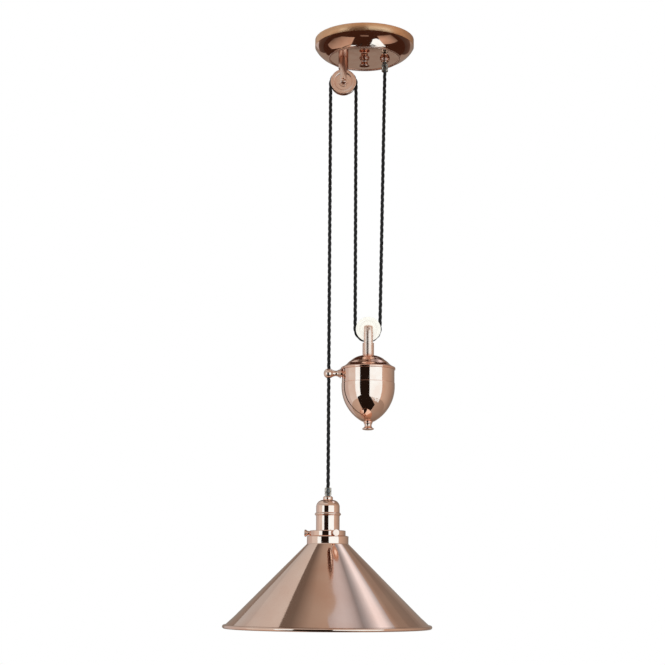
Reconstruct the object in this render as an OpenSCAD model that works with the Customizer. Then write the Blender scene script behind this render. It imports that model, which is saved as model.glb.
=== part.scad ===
// Rise and fall pendant: a ceiling canopy, a cord reeved over a fixed pulley and under a
// running pulley that carries a counterweight, and a lamp with a conical shade.
// Millimetres. The origin is on the ceiling at the middle of the canopy, +Z up, and the
// cord, both wheels and the guide arm lie in the plane Y = 0, with the lamp towards -X.

/* [Ceiling canopy] */
// Outside diameter of the canopy
canopy_d = 160; // [152:1:190]
// Depth from the ceiling to the flat disk
canopy_h = 31; // [29:1:40]
// Height of the upright rim band
rim_h = 13; // [8:1:16]
// How far the dish bows out from its straight line
dish_bow = 2.9; // [1:0.1:5]
// Diameter of the flat disk inside its bead
disk_d = 110; // [100:1:120]
// Thickness of the bead round the disk
bead_d = 3.2; // [2:0.1:4]
// Thickness of the spun sheet
sheet_t = 1.2; // [0.8:0.1:1.6]

/* [Ceiling strap and load bar] */
// Length of the ceiling strap
strap_l = 130; // [120:1:140]
// Width of the ceiling strap
strap_w = 25; // [20:1:30]
// Thickness of the ceiling strap
strap_t = 3; // [2:0.5:4]
// Distance between the two screw slots
slot_pitch = 90; // [80:1:96]
// Length of each screw slot
slot_l = 22; // [12:1:24]
// Width of each screw slot
slot_w = 5.5; // [4:0.1:7]
// Width of the load bar inside the disk
bar_w = 22; // [18:1:26]
// Thickness of the load bar
bar_t = 3; // [2:0.5:4]
// How far the load bar runs past its outer holes
bar_end = 12; // [10:1:14]

/* [Centre stud and knob] */
// Diameter of the centre stud
stud_d = 6; // [5:0.5:8]
// Diameter of the knob's lower flange
knob_d = 17.8; // [15:0.1:24]
// Height of the knob below the disk
knob_h = 15; // [13:0.5:20]
// Diameter of the knob's waist
knob_waist_d = 10.8; // [9.5:0.1:13]

/* [Cord and grips] */
// Diameter of the twisted cord
cord_d = 5; // [4:0.1:6]
// Clearance round the cord
cord_gap = 0.3; // [0.3:0.05:0.5]
// Diameter of each core inside the cord
core_d = 2.2; // [1.6:0.1:2.4]
// Diameter of a grip's body
grip_d = 10.4; // [9.8:0.1:12]
// Length of a grip's body
grip_l = 12; // [10:0.5:16]
// Diameter of a grip's threaded neck
grip_neck_d = 8; // [7.6:0.1:9]
// Length of a grip's threaded neck
grip_neck_l = 10; // [9:0.5:12]
// Neck left in view under the canopy
canopy_neck_show = 3.8; // [1:0.1:5]
// Neck left in view above the lamp
lamp_neck_show = 1.3; // [1:0.1:5]
// Diameter of the cord boss on the disk
boss_d = 16.2; // [15:0.1:20]
// Height of the cord boss
boss_h = 6.6; // [6:0.1:9]
// Diameter of a hollow thread that the cord runs through
tube_d = 10; // [9.6:0.1:11]
// Where the cord boss stands along the disk
boss_x = 33; // [30:1:36]

/* [Pulleys and forks] */
// Where the upper pulley hangs along the disk
pulley_x = -34; // [-36:1:-30]
// Drop from the ceiling to the upper axle
upper_axle_drop = 71.4; // [68:0.1:90]
// Drop from the ceiling to the counterweight's axle
weight_axle_drop = 476.4; // [420:1:520]
// Diameter of the upper wheel
upper_wheel_d = 41.6; // [40:0.1:44]
// Diameter of the counterweight's wheel
weight_wheel_d = 39.2; // [38:0.1:42]
// Depth of the upper wheel's groove
upper_groove_h = 5.6; // [4:0.1:6.5]
// Depth of the counterweight wheel's groove
weight_groove_h = 4.8; // [4:0.1:5.4]
// Radius of the cord's loop over the upper wheel
upper_loop_r = 20.5; // [20:0.1:22]
// Radius of the cord's loop under the counterweight's wheel
weight_loop_r = 19.5; // [19:0.1:21]
// Width of a wheel's rim
rim_w = 10; // [9.4:0.1:10.6]
// Width of a wheel's hub
hub_w = 11.4; // [11:0.1:11.5]
// Diameter of a wheel's hub
hub_d = 16; // [14:0.5:18]
// Wall of a wheel's bush
bush_t = 1.5; // [1:0.1:2]
// Diameter of an axle
axle_d = 5; // [4:0.1:6]
// Diameter of the axle screw's head
axle_head_d = 9; // [8:0.1:10]
// Diameter of the bar that the upper fork is turned from
upper_fork_d = 16; // [15.6:0.1:18]
// Diameter of the bar that the counterweight's fork is turned from
fork_d = 18; // [17:0.1:20]
// Width of a fork's slot
fork_slot_w = 12; // [11.8:0.1:13]
// How far a fork's tips reach past the axle
fork_tip = 5.4; // [5:0.1:8]
// Space between a wheel's rim and the root of the slot
slot_clear = 2; // [1:0.1:4]
// Diameter of the upper fork's threaded end
spigot_d = 8; // [6:0.5:9]

/* [Counterweight] */
// Distance from the counterweight's axle down to its lid
weight_fork_l = 41.6; // [36:0.1:50]
// Diameter of the lid's dome
dome_d = 66; // [56:1:72]
// Height of the lid's dome
dome_h = 13; // [10:0.1:18]
// Width of the dome's steeper flank
dome_edge = 6; // [2:0.1:8]
// Height from the lid's seat to the top of the lip
lid_h = 18.6; // [18.3:0.1:24]
// Diameter of the lid's lip
lip_d = 85.2; // [84:0.1:90]
// Height of the lid's lip
lip_h = 4.3; // [3:0.1:6]
// Diameter of the straight band
band_d = 82.4; // [76:0.1:83]
// Drop from the lip to the seam under the band
band_h = 21.2; // [18:0.1:30]
// Diameter of the bowl
bowl_d = 83.4; // [78:0.1:83.8]
// Straight height of the bowl under the seam
bowl_straight = 5; // [3:0.1:12]
// Radius of the bowl's pointed curve
ogive_r = 63; // [56:0.5:80]
// Wall of the lid, the band and the bowl
wall_t = 1.5; // [1:0.1:2]
// Diameter of the iron filling beside the band
filling_d = 64; // [50:1:66]
// Diameter of the tie rod through the counterweight
rod_d = 8; // [6:0.5:9]
// Diameter of the finial's lower flange
finial_d = 18.2; // [14:0.1:24]
// Height of the finial
finial_h = 13.7; // [12:0.1:20]
// Diameter of the finial's waist
finial_waist_d = 11; // [10.4:0.1:12]

/* [Guide arm] */
// Drop from the lip to the axis of the guide arm
guide_drop = 9.8; // [9.8:0.1:14]
// Diameter of the eye's ball
ball_d = 16; // [15:0.1:19]
// Diameter of the arm's waist
arm_waist_d = 8.4; // [7:0.1:9]
// Diameter of the arm's seat on the band
arm_seat_d = 10.6; // [9:0.1:10.6]
// Diameter of the arm's flange in front of the lip
arm_flange_d = 15.4; // [12:0.1:17]
// Wall of the bush in the eye
eye_bush_t = 0.9; // [0.6:0.1:1.2]

/* [Lampholder] */
// Drop from the ceiling to the top of the lamp's grip
lamp_drop = 724.7; // [700:1:800]
// Diameter of the ferrule
ferrule_d = 15.2; // [14.6:0.1:18]
// Height of the ferrule
ferrule_h = 5.7; // [5:0.1:8]
// Diameter of the cap and its skirt
holder_d = 36.4; // [36:0.1:40]
// Height of the cap's dome
cap_dome_h = 11; // [9:0.1:14]
// Height from the top of the cap to the joint with the skirt
cap_h = 21.9; // [19:0.1:26]
// Height of the skirt
skirt_h = 25; // [23:0.1:32]
// Thickness of the lampholder's sheet
holder_t = 1; // [0.8:0.1:1.1]
// Diameter of the union ring
union_d = 40.4; // [39.6:0.1:44]
// Height of the union ring
union_h = 5; // [4:0.1:8]
// Bore of the screw shell that takes the lamp cap
socket_d = 26.6; // [26.4:0.1:27]
// Length of the screw shell
socket_l = 22; // [20:0.5:24]
// Thickness of the screw shell
shell_t = 0.5; // [0.4:0.1:0.6]

/* [Shade and gallery] */
// Outside diameter of the gallery
gallery_d = 55; // [54:0.5:60]
// Height of the gallery
gallery_h = 8; // [7.6:0.1:12]
// Thickness of the gallery
gallery_t = 1.4; // [1:0.1:1.6]
// Diameter of the shade's mouth over its rolled rim
shade_d = 320; // [250:1:400]
// Diameter of the shade's neck
neck_d = 64; // [62:0.5:80]
// Height of the shade's neck
neck_h = 12.5; // [8:0.5:20]
// Slope of the cone from upright
cone_angle = 45; // [35:1:55]
// Thickness of the shade
shade_t = 0.85; // [0.8:0.05:1.2]
// Diameter of the rolled rim
rolled_d = 6; // [4:0.1:8]
// Diameter of a thumb screw's head
thumb_d = 10.8; // [8:0.1:11.4]
// Thickness of a thumb screw's head
thumb_l = 2.6; // [2:0.1:6]
// Diameter of a thumb screw's collar
thumb_collar_d = 6.8; // [5.6:0.1:6.8]
// Diameter of a thumb screw's thread
thumb_shank_d = 4; // [3:0.1:4.4]
// Direction of the first thumb screw, from the front towards +X
thumb_first = 21; // [0:1:119]

/* [Hidden] */
$fn = 72;

// Fits
part_gap = 0.3;    // between pieces that move past each other
press_gap = 0.02;  // between pieces pressed or cast together
thread_gap = 0.1;  // between a thread and its hole
run_gap = 0.05;    // between an axle and its bush
seat_gap = 0.05;   // between a curved seat and what sits on it
over = 1;          // how far a cutter runs past what it cuts

// Colours, as the photograph shows them
copper = [0.80, 0.52, 0.42];
steel = [0.62, 0.62, 0.64];
brass = [0.80, 0.66, 0.36];
iron = [0.30, 0.30, 0.31];
clear_plastic = [0.75, 0.75, 0.73, 0.6];
white = [0.95, 0.95, 0.92];
black = [0.08, 0.08, 0.08];

// Heights inside the canopy
disk_z = -canopy_h;
disk_top = disk_z + sheet_t;
bar_top = disk_top + bar_t;
nut_h = 4.4;
stud_nut_af = 10;
fork_nut_af = 13;
boss_nut_af = 15;
stud_end = disk_z - knob_h * 0.7;

// Cord boss and the grip below it
boss_end = disk_z - boss_h;
canopy_grip_top = boss_end - canopy_neck_show;
canopy_grip_end = canopy_grip_top - grip_l;
grip_bore_d = cord_d + 2 * cord_gap;
grip_screw_d = 3;
grip_screw_head_d = 4.6;
grip_chamfer = 1.4;
boss_bore_h = grip_neck_l - canopy_neck_show + 0.4;

// Three-way block under the strap, with the cord's cores led into its back
block_x = 18;
block_y = -7;
block_w = 22;
block_depth = 13;
block_h = 12;
way_pitch = 7.3;
way_d = 3.4;
tube_wall = 0.6;
block_screw_d = 2.5;
block_screw_head_h = 1.8;
clamp_d = 2.6;
clamp_sink = 0.6;
bare_core_d = core_d - 2 * thread_gap;
wire_z = -strap_t - block_h / 2;
tail_bend_r = 8;
tail_turn_r = (boss_x - block_x) / 2;
tail_y = tail_bend_r + 6;
fan_l = tail_y - (block_y + block_depth / 2);
core_step = core_d + thread_gap;

// Cord's loops. Each lies in the root of its groove on one side only.
cord_r = cord_d / 2;
groove_half = cord_r + cord_gap;
upper_wheel_r = upper_wheel_d / 2;
weight_wheel_r = weight_wheel_d / 2;
upper_axle_z = -upper_axle_drop;
weight_axle_z = -weight_axle_drop;
upper_loop_z = upper_axle_z - (upper_loop_r - (upper_wheel_r - upper_groove_h + groove_half));
weight_loop_ease = weight_loop_r - (weight_wheel_r - weight_groove_h + groove_half);
weight_contact = 52;  // where the cord bears on the wheel, degrees below +X
lamp_x = pulley_x - upper_loop_r;
middle_x = pulley_x + upper_loop_r;
weight_loop_x = middle_x + weight_loop_r;
weight_loop_z = weight_axle_z + weight_loop_ease * sin(weight_contact);
weight_x = weight_loop_x + weight_loop_ease * cos(weight_contact);

// Right run: the line from the canopy's grip that just touches the lower loop
run_dx = boss_x - weight_loop_x;
run_dz = canopy_grip_end - run_gap - weight_loop_z;
run_l = sqrt(run_dx * run_dx + run_dz * run_dz - weight_loop_r * weight_loop_r);
run_tilt = atan(run_l / weight_loop_r) - atan2(run_dz, run_dx);

// Forks
spigot_end = bar_top + nut_h + 1.5;
fork_edge = 2.2;
upper_slot_z = upper_axle_z + upper_wheel_r + slot_clear;
weight_slot_z = weight_axle_z - weight_wheel_r - slot_clear;
axle_head_h = 2.2;
axle_head_y = upper_fork_d / 2 - 0.8;

// Counterweight, from its lid down
lid_z = weight_axle_z - weight_fork_l;
lip_z = lid_z - lid_h;
lip_end = lip_z - lip_h;
seam_z = lip_z - lip_h - band_h + 0.5;
bowl_r = bowl_d / 2;
bowl_end_r = 9.4;
ogive_x = bowl_r - ogive_r;
ogive_z = seam_z - bowl_straight;
ogive_sweep = acos((bowl_end_r - ogive_x) / ogive_r);
bowl_end = ogive_z - ogive_r * sin(ogive_sweep);
rod_bite = 9;
filling_gap = 0.3;
finial_end = bowl_end - finial_h;

// Guide arm
guide_z = lip_z - guide_drop;
arm_l = weight_x - band_d / 2 - lamp_x;
guide_thread_d = 5;
guide_nut_af = 8;
guide_nut_h = 3;
eye_d = cord_d + 4 * cord_gap;
eye_bush_l = ball_d - 2.6;

// Lampholder, from its grip down
lamp_grip_z = -lamp_drop;
ferrule_z = lamp_grip_z - grip_l - lamp_neck_show;
cap_z = ferrule_z - ferrule_h;
skirt_z = cap_z - cap_h;
gallery_z = skirt_z - skirt_h;
holder_r = holder_d / 2;
barrel_r = holder_r - holder_t - 0.3;
barrel_z = cap_z - 13.5;
barrel_end = gallery_z - gallery_h + 1;
shell_r = socket_d / 2;
shell_end = barrel_end + 3;
shell_z = shell_end + socket_l;
barrel_floor = shell_z + 3.6;
cap_hole_d = tube_d + 2 * thread_gap;
ferrule_tube_l = 7;
core_split_z = cap_z - ferrule_tube_l - 0.5;

// Gallery and shade
gallery_r = gallery_d / 2;
gallery_end = gallery_z - gallery_h;
collar_gap = 3.6;
shade_lip = 0.3;
collar_r = gallery_r - gallery_t - collar_gap;
collar_top = gallery_z - gallery_t - 0.4;
neck_r = neck_d / 2;
neck_end = gallery_end - neck_h;
mouth_r = shade_d / 2 - rolled_d / 2;
cone_h = (mouth_r - neck_r) / tan(cone_angle);
mouth_z = neck_end - cone_h;
ring_r = barrel_r + 4;
thumb_z = gallery_z - gallery_h / 2;
thumb_head_r = neck_r + shade_lip + 4 * part_gap;
flange_h = 1;      // porcelain flange clamped between the cap and the skirt
terminal_x = 8;
terminal_d = 4.5;
terminal_h = 3;

// Points of a circular arc from p to q that bows out to the left of the way by sag
function bow(p, q, sag, n = 10) =
    let (c = norm(q - p), u = (q - p) / c, v = [-u[1], u[0]], h = 2 * atan(2 * sag / c),
         r = c / (2 * sin(h)))
    [for (i = [0:n])
        let (a = h * (2 * i / n - 1))
        (p + q) / 2 + u * r * sin(a) + v * (r * cos(a) - r + sag)];

// A turned piece: the profile's points are [radius, height]
module turned(points) {
    rotate_extrude() polygon(points);
}

// A straight bore or pin along Z from z0 up to z1
module rod(d, z0, z1) {
    translate([0, 0, z0]) cylinder(d = d, h = z1 - z0);
}

// A plain hexagon nut that stands on z0
module hex_nut(af, bore, z0, h = nut_h) {
    translate([0, 0, z0]) difference() {
        cylinder(d = af / cos(30), h = h, $fn = 6);
        rod(bore, -over, h + over);
    }
}

// ---------------------------------------------------------------- ceiling parts

module ceiling_strap() {
    color(steel) translate([0, 0, -strap_t]) difference() {
        linear_extrude(strap_t) difference() {
            union() {
                square([strap_l - strap_w, strap_w], center = true);
                for (side = [-1, 1])
                    translate([side * (strap_l - strap_w) / 2, 0]) circle(d = strap_w);
            }
            for (side = [-1, 1]) translate([side * slot_pitch / 2, 0]) slot_outline();
        }
        rod(stud_d + 2 * press_gap, -over, strap_t + over);
        block_screw_places() rod(block_screw_d + 2 * thread_gap, -over, strap_t + over);
    }
}

module block_screw_places() {
    for (side = [-1, 1]) translate([block_x + side * way_pitch / 2, block_y, 0]) children();
}

module slot_outline() {
    square([slot_l - slot_w, slot_w], center = true);
    for (end = [-1, 1]) translate([end * (slot_l - slot_w) / 2, 0]) circle(d = slot_w);
}

module canopy_stud() {
    color(steel) rod(stud_d, stud_end, 0);
}

module stud_nut() {
    color(steel) hex_nut(stud_nut_af, stud_d + 2 * thread_gap, -strap_t - nut_h);
}

module load_bar() {
    bar_from = pulley_x - bar_end;
    bar_l = boss_x + bar_end - bar_from;
    color(steel) difference() {
        translate([bar_from, -bar_w / 2, disk_top]) cube([bar_l, bar_w, bar_t]);
        disk_holes();
    }
}

// Holes that the stud, the fork and the cord boss share in the disk and the load bar
module disk_holes() {
    rod(stud_d + 2 * thread_gap, disk_z - over, bar_top + over);
    translate([pulley_x, 0, 0]) rod(spigot_d + 2 * thread_gap, disk_z - over, bar_top + over);
    translate([boss_x, 0, 0]) rod(tube_d + 2 * thread_gap, disk_z - over, bar_top + over);
}

// Filled outline of the canopy, drawn in by t
module canopy_fill(t) {
    rim_r = canopy_d / 2 - t;
    foot_r = disk_d / 2 + 0.85 * bead_d;
    polygon(concat(
        [[0, t * over], [rim_r, t * over]],
        bow([rim_r, -rim_h], [foot_r, disk_z + t], dish_bow),
        [[0, disk_z + t]]
    ));
}

module canopy() {
    color(copper) difference() {
        union() {
            rotate_extrude() difference() {
                canopy_fill(0);
                canopy_fill(sheet_t);
            }
            rotate_extrude() translate([disk_d / 2 + bead_d / 2, disk_z]) circle(d = bead_d);
        }
        disk_holes();
    }
}

// A turned knob that hangs from z = 0: base flange, cove, waist and rounded lower flange
module turned_knob(base_d, waist_d, flange_d, h) {
    base_h = 0.17 * h;
    waist_z = -0.46 * h;
    flange_z = -0.76 * h;
    edge = 0.08 * h;
    turned(concat(
        [[0, 0], [base_d / 2, 0]],
        bow([base_d / 2, -edge / 2], [base_d / 2 - edge, -base_h], edge / 4, 4),
        bow([waist_d / 2 + edge, -base_h - edge], [waist_d / 2, waist_z], -edge / 4, 5),
        bow([waist_d / 2, waist_z], [flange_d / 2 - edge, flange_z], -edge * 0.7, 8),
        bow([flange_d / 2, flange_z - edge], [flange_d / 2 - edge, -0.94 * h], edge / 3, 6),
        [[flange_d / 4, -h], [0, -h]]
    ));
}

module canopy_knob() {
    color(copper) translate([0, 0, disk_z]) difference() {
        turned_knob(knob_d - 1, knob_waist_d, knob_d, knob_h);
        rod(stud_d + 2 * thread_gap, stud_end - disk_z - 0.5, over);
    }
}

// ---------------------------------------------------------------- forks, axles, wheels

// How far an axle reaches to each side to end flush with a fork turned from bar d
function flush_y(d) = sqrt(d * d - axle_d * axle_d) / 2 - run_gap;

// Bar d with rounded tips that stands on z = 0, slotted down to slot_from
module fork_body(d, l, slot_from, axle_at) {
    difference() {
        turned(concat(
            [[0, 0], [d / 2, 0]],
            bow([d / 2, l - fork_edge], [d / 2 - fork_edge, l], -fork_edge * 0.3, 5),
            [[0, l]]
        ));
        translate([-d, -fork_slot_w / 2, slot_from]) cube([2 * d, fork_slot_w, l]);
        translate([0, d, axle_at]) rotate([90, 0, 0])
            cylinder(d = axle_d + 2 * press_gap, h = 2 * d);
    }
}

module upper_fork() {
    l = disk_z - upper_axle_z + fork_tip;
    color(copper) translate([pulley_x, 0, disk_z]) {
        mirror([0, 0, 1]) difference() {
            fork_body(upper_fork_d, l, disk_z - upper_slot_z, disk_z - upper_axle_z);
            translate([0, -axle_head_y, disk_z - upper_axle_z]) rotate([90, 0, 0])
                cylinder(d = axle_head_d + 2 * thread_gap, h = upper_fork_d);
        }
        rod(spigot_d, 0, spigot_end - disk_z);
    }
}

module fork_nut() {
    color(steel) translate([pulley_x, 0, 0])
        hex_nut(fork_nut_af, spigot_d + 2 * thread_gap, bar_top);
}

// Slotted axle screw: its head lies in a spot face in front
module upper_axle() {
    slot_t = 1.1;
    color(copper) translate([pulley_x, 0, upper_axle_z]) rotate([90, 0, 0]) difference() {
        union() {
            rod(axle_d, -flush_y(upper_fork_d), axle_head_y + axle_head_h / 4);
            translate([0, 0, axle_head_y]) turned(concat(
                [[0, 0], [axle_head_d / 2, 0]],
                bow([axle_head_d / 2, axle_head_h * 0.4], [axle_head_d / 9, axle_head_h], -0.5, 6),
                [[0, axle_head_h]]
            ));
        }
        translate([-axle_head_d, -slot_t / 2, axle_head_y + axle_head_h / 2])
            cube([2 * axle_head_d, slot_t, axle_head_h]);
    }
}

// Grooved wheel about the Y axis
module grooved_wheel(d, groove_h) {
    r = d / 2;
    half = rim_w / 2;
    root_r = r - groove_h;
    lip = 0.7;
    dish_half = half - 0.9;
    dish_r = root_r - 1.2;
    step = 0.5;
    side = concat(
        [[hub_d / 2 - step, hub_w / 2], [hub_d / 2, hub_w / 2 - step], [hub_d / 2, dish_half],
         [dish_r - step, dish_half], [dish_r, half]],
        bow([r - lip, half], [r - lip, half - 2 * lip], lip, 6),
        bow([root_r + groove_half, groove_half], [root_r, 0], -0.29 * groove_half, 6)
    );
    rotate([90, 0, 0]) difference() {
        turned(concat(
            [[0, hub_w / 2]],
            side,
            [for (i = [len(side) - 1:-1:0]) [side[i][0], -side[i][1]]],
            [[0, -hub_w / 2]]
        ));
        rod(axle_d + 2 * (run_gap + bush_t + press_gap), -rim_w, rim_w);
    }
}

module wheel_bush() {
    rotate([90, 0, 0]) difference() {
        rod(axle_d + 2 * (run_gap + bush_t), -hub_w / 2, hub_w / 2);
        rod(axle_d + 2 * run_gap, -rim_w, rim_w);
    }
}

module upper_wheel() {
    color(copper) translate([pulley_x, 0, upper_axle_z])
        grooved_wheel(upper_wheel_d, upper_groove_h);
}

module upper_bush() {
    color(brass) translate([pulley_x, 0, upper_axle_z]) wheel_bush();
}

module weight_wheel() {
    color(white) translate([weight_x, 0, weight_axle_z])
        grooved_wheel(weight_wheel_d, weight_groove_h);
}

module weight_bush() {
    color(brass) translate([weight_x, 0, weight_axle_z]) wheel_bush();
}

module weight_fork() {
    color(copper) translate([weight_x, 0, lid_z]) difference() {
        fork_body(fork_d, weight_fork_l + fork_tip, weight_slot_z - lid_z, weight_fork_l);
        rod(rod_d + 2 * thread_gap, -over, rod_bite);
    }
}

module weight_axle() {
    color(copper) translate([weight_x, 0, weight_axle_z]) rotate([90, 0, 0])
        rod(axle_d, -flush_y(fork_d), flush_y(fork_d));
}

// ---------------------------------------------------------------- cord boss, grips, cord

module cord_boss() {
    base_h = 2.4;
    waist_r = boss_d / 2 - 0.9;
    color(copper) translate([boss_x, 0, disk_z]) difference() {
        union() {
            turned(concat(
                [[0, 0], [boss_d / 2, 0], [boss_d / 2, -base_h]],
                bow([waist_r, -base_h - 0.5], [waist_r - 1.6, -boss_h], 0.5, 5),
                [[0, -boss_h]]
            ));
            rod(tube_d, 0, spigot_end - disk_z);
        }
        rod(grip_bore_d, -boss_h - over, spigot_end - disk_z + over);
        rod(grip_neck_d + 2 * thread_gap, -boss_h - over, boss_bore_h - boss_h);
    }
}

module boss_nut() {
    color(steel) translate([boss_x, 0, 0])
        hex_nut(boss_nut_af, tube_d + 2 * thread_gap, bar_top);
}

// Clear grip, its body below z = 0 and its neck above, with a side hole for its screw
module cord_grip() {
    difference() {
        union() {
            turned([[0, 0], [grip_d / 2, 0], [grip_d / 2, grip_chamfer - grip_l],
                    [grip_d / 2 - grip_chamfer, -grip_l], [0, -grip_l]]);
            rod(grip_neck_d, 0, grip_neck_l);
        }
        rod(grip_bore_d, -grip_l - over, grip_neck_l + over);
        translate([0, 0, -grip_l / 2]) rotate([-90, 0, 0])
            cylinder(d = grip_screw_d + 2 * thread_gap, h = grip_d);
    }
}

// Nylon screw behind the grip that pins the cord
module grip_screw() {
    tip = cord_r + seat_gap;
    translate([0, 0, -grip_l / 2]) rotate([-90, 0, 0]) difference() {
        union() {
            rod(grip_screw_d, tip, grip_d / 2 + 0.4);
            rod(grip_screw_head_d, grip_d / 2 + 0.2, grip_d / 2 + 2);
        }
        translate([-grip_screw_head_d, -0.4, grip_d / 2 + 1.3])
            cube([2 * grip_screw_head_d, 0.8, 2]);
    }
}

module canopy_grip() {
    color(clear_plastic) translate([boss_x, 0, canopy_grip_top]) cord_grip();
}

module canopy_grip_screw() {
    color(clear_plastic) translate([boss_x, 0, canopy_grip_top]) grip_screw();
}

// A quarter or part of a bend in a cord, swept about Z in the plane XY
module cord_bend(r, sweep, d) {
    rotate_extrude(angle = sweep) translate([r, 0]) circle(d = d);
}

// Cord over the upper wheel
module upper_cord_loop() {
    color(black) translate([pulley_x, 0, upper_loop_z]) rotate([90, 0, 0])
        cord_bend(upper_loop_r, 180, cord_d);
}

// Cord under the counterweight's wheel, from the middle run round to the right run
module weight_cord_loop() {
    color(black) translate([weight_loop_x, 0, weight_loop_z]) rotate([90, 180, 0])
        cord_bend(weight_loop_r, 180 - run_tilt, cord_d);
}

module middle_cord_run() {
    color(black) translate([middle_x, 0, 0]) rod(cord_d, weight_loop_z, upper_loop_z);
}

module right_cord_run() {
    color(black) translate([weight_loop_x, 0, weight_loop_z]) rotate([0, run_tilt, 0])
        translate([weight_loop_r, 0, 0]) rod(cord_d, 0, run_l);
}

module lamp_cord_run() {
    color(black) translate([lamp_x, 0, 0]) rod(cord_d, lamp_grip_z, upper_loop_z);
}

// ---------------------------------------------------------------- wiring in the canopy

module terminal_block() {
    color(white) difference() {
        translate([block_x - block_w / 2, block_y - block_depth / 2, -strap_t - block_h])
            cube([block_w, block_depth, block_h]);
        for (way = [-1:1]) translate([block_x + way * way_pitch, block_y, wire_z]) {
            rotate([90, 0, 0])
                cylinder(d = way_d + 2 * press_gap, h = block_depth + 2 * over, center = true);
            clamp_places() rod(clamp_d + 2 * thread_gap, -block_h, 0);
        }
        block_screw_places()
            rod(block_screw_d + 2 * thread_gap, -strap_t - block_h - over, over);
    }
}

module clamp_places() {
    for (end = [-1, 1]) translate([0, end * block_depth / 4, 0]) children();
}

module terminal_tubes() {
    color(brass) for (way = [-1:1]) translate([block_x + way * way_pitch, block_y, wire_z])
        difference() {
            rotate([90, 0, 0]) cylinder(d = way_d, h = block_depth, center = true);
            rotate([90, 0, 0])
                cylinder(d = way_d - 2 * tube_wall, h = block_depth + over, center = true);
            clamp_places() rod(clamp_d + 2 * thread_gap, -way_d, 0);
        }
}

module terminal_screws() {
    tip = wire_z - bare_core_d / 2 - seat_gap;
    color(brass) for (way = [-1:1]) translate([block_x + way * way_pitch, block_y, 0])
        clamp_places() rod(clamp_d, -strap_t - block_h + clamp_sink, tip);
}

module block_screws() {
    head_z = -strap_t - block_h;
    color(steel) block_screw_places() {
        rod(block_screw_d, head_z, -thread_gap);
        rod(block_screw_d + 2, head_z - block_screw_head_h, head_z);
    }
}

// A core that runs l along -Y, shifted by shift along +X in two square bends
module core_lead(shift, l) {
    bend_r = shift / 2;
    translate([bend_r, 0, 0]) rotate([0, 0, 180]) cord_bend(bend_r, 90, core_d);
    translate([bend_r, -shift, 0]) cord_bend(bend_r, 90, core_d);
    translate([shift, -shift, 0]) rotate([90, 0, 0]) cylinder(d = core_d, h = l - shift);
}

// Cord from the canopy's grip up through the boss and round to the back of the block
module canopy_cord_tail() {
    rise_end = wire_z - tail_bend_r;
    color(black) {
        translate([boss_x, 0, 0]) rod(cord_d, canopy_grip_end, rise_end);
        translate([boss_x, tail_bend_r, rise_end]) rotate([90, 0, -90])
            cord_bend(tail_bend_r, 90, cord_d);
        translate([boss_x, tail_bend_r, wire_z]) rotate([-90, 0, 0])
            cylinder(d = cord_d, h = tail_y - tail_bend_r);
        translate([boss_x - tail_turn_r, tail_y, wire_z])
            cord_bend(tail_turn_r, 180, cord_d);
    }
}

// The cord's three cores fan out into the three ways of the block
module canopy_cores() {
    bare_l = 0.8 * block_depth;
    color(black) translate([block_x, tail_y, wire_z]) {
        for (side = [0, 1]) mirror([side, 0, 0]) {
            translate([core_step, 0, 0]) core_lead(way_pitch - core_step, fan_l);
            translate([way_pitch, -fan_l, 0]) rotate([90, 0, 0])
                cylinder(d = bare_core_d, h = bare_l);
        }
        rotate([90, 0, 0]) cylinder(d = core_d, h = fan_l);
        translate([0, -fan_l, 0]) rotate([90, 0, 0]) cylinder(d = bare_core_d, h = bare_l);
    }
}

// ---------------------------------------------------------------- counterweight

// Filled outline of the lid, drawn in by t: dome, flank, shoulder and lip
module lid_fill(t) {
    edge_r = dome_d / 2 - t / 2;
    edge_z = lid_z - dome_h - t / 2;
    crown_r = edge_r - dome_edge;
    crown_z = lid_z - 0.6 * dome_h - t;
    lip_r = lip_d / 2 - t;
    lip_edge = 1.4;
    polygon(concat(
        [[0, lid_z - t]],
        bow([fork_d / 2, lid_z - t], [crown_r, crown_z], 1.7, 10),
        bow([crown_r, crown_z], [edge_r, edge_z], 0.4, 6),
        bow([edge_r, edge_z], [lip_r - lip_edge, lip_z - t / 2], -0.4, 6),
        bow([lip_r - lip_edge, lip_z - t / 2], [lip_r, lip_z - lip_edge], 0.25 * lip_edge, 4),
        [[lip_r, lip_end - t * over], [0, lip_end - t * over]]
    ));
}

module weight_lid() {
    color(copper) translate([weight_x, 0, 0]) difference() {
        rotate_extrude() difference() {
            lid_fill(0);
            lid_fill((lip_d - band_d) / 2 - seat_gap);
        }
        rod(rod_d + 2 * thread_gap, lip_end, lid_z + over);
    }
}

module weight_band() {
    band_top = lip_z - 2;
    color(copper) translate([weight_x, 0, 0]) difference() {
        rod(band_d, seam_z, band_top);
        rod(band_d - 2 * wall_t, seam_z - over, band_top + over);
        translate([-band_d / 2 + 2 * wall_t, 0, guide_z]) rotate([0, -90, 0])
            cylinder(d = guide_thread_d + 2 * thread_gap, h = 4 * wall_t);
    }
}

// Filled outline of the bowl, drawn in by t, down to radius end_r
module bowl_fill(t, top) {
    r = ogive_r - t;
    sweep = acos((bowl_end_r - ogive_x) / r);
    polygon(concat(
        [[0, top], [bowl_r - t, top]],
        [for (i = [0:16])
            let (a = sweep * i / 16)
            [ogive_x + r * cos(a), ogive_z - r * sin(a)]],
        [[0, ogive_z - r * sin(sweep)]]
    ));
}

module weight_bowl() {
    color(copper) translate([weight_x, 0, 0]) difference() {
        rotate_extrude() difference() {
            bowl_fill(0, seam_z);
            bowl_fill(wall_t, seam_z + over);
        }
        rod(rod_d + 2 * thread_gap, bowl_end - over, seam_z);
    }
}

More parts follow.
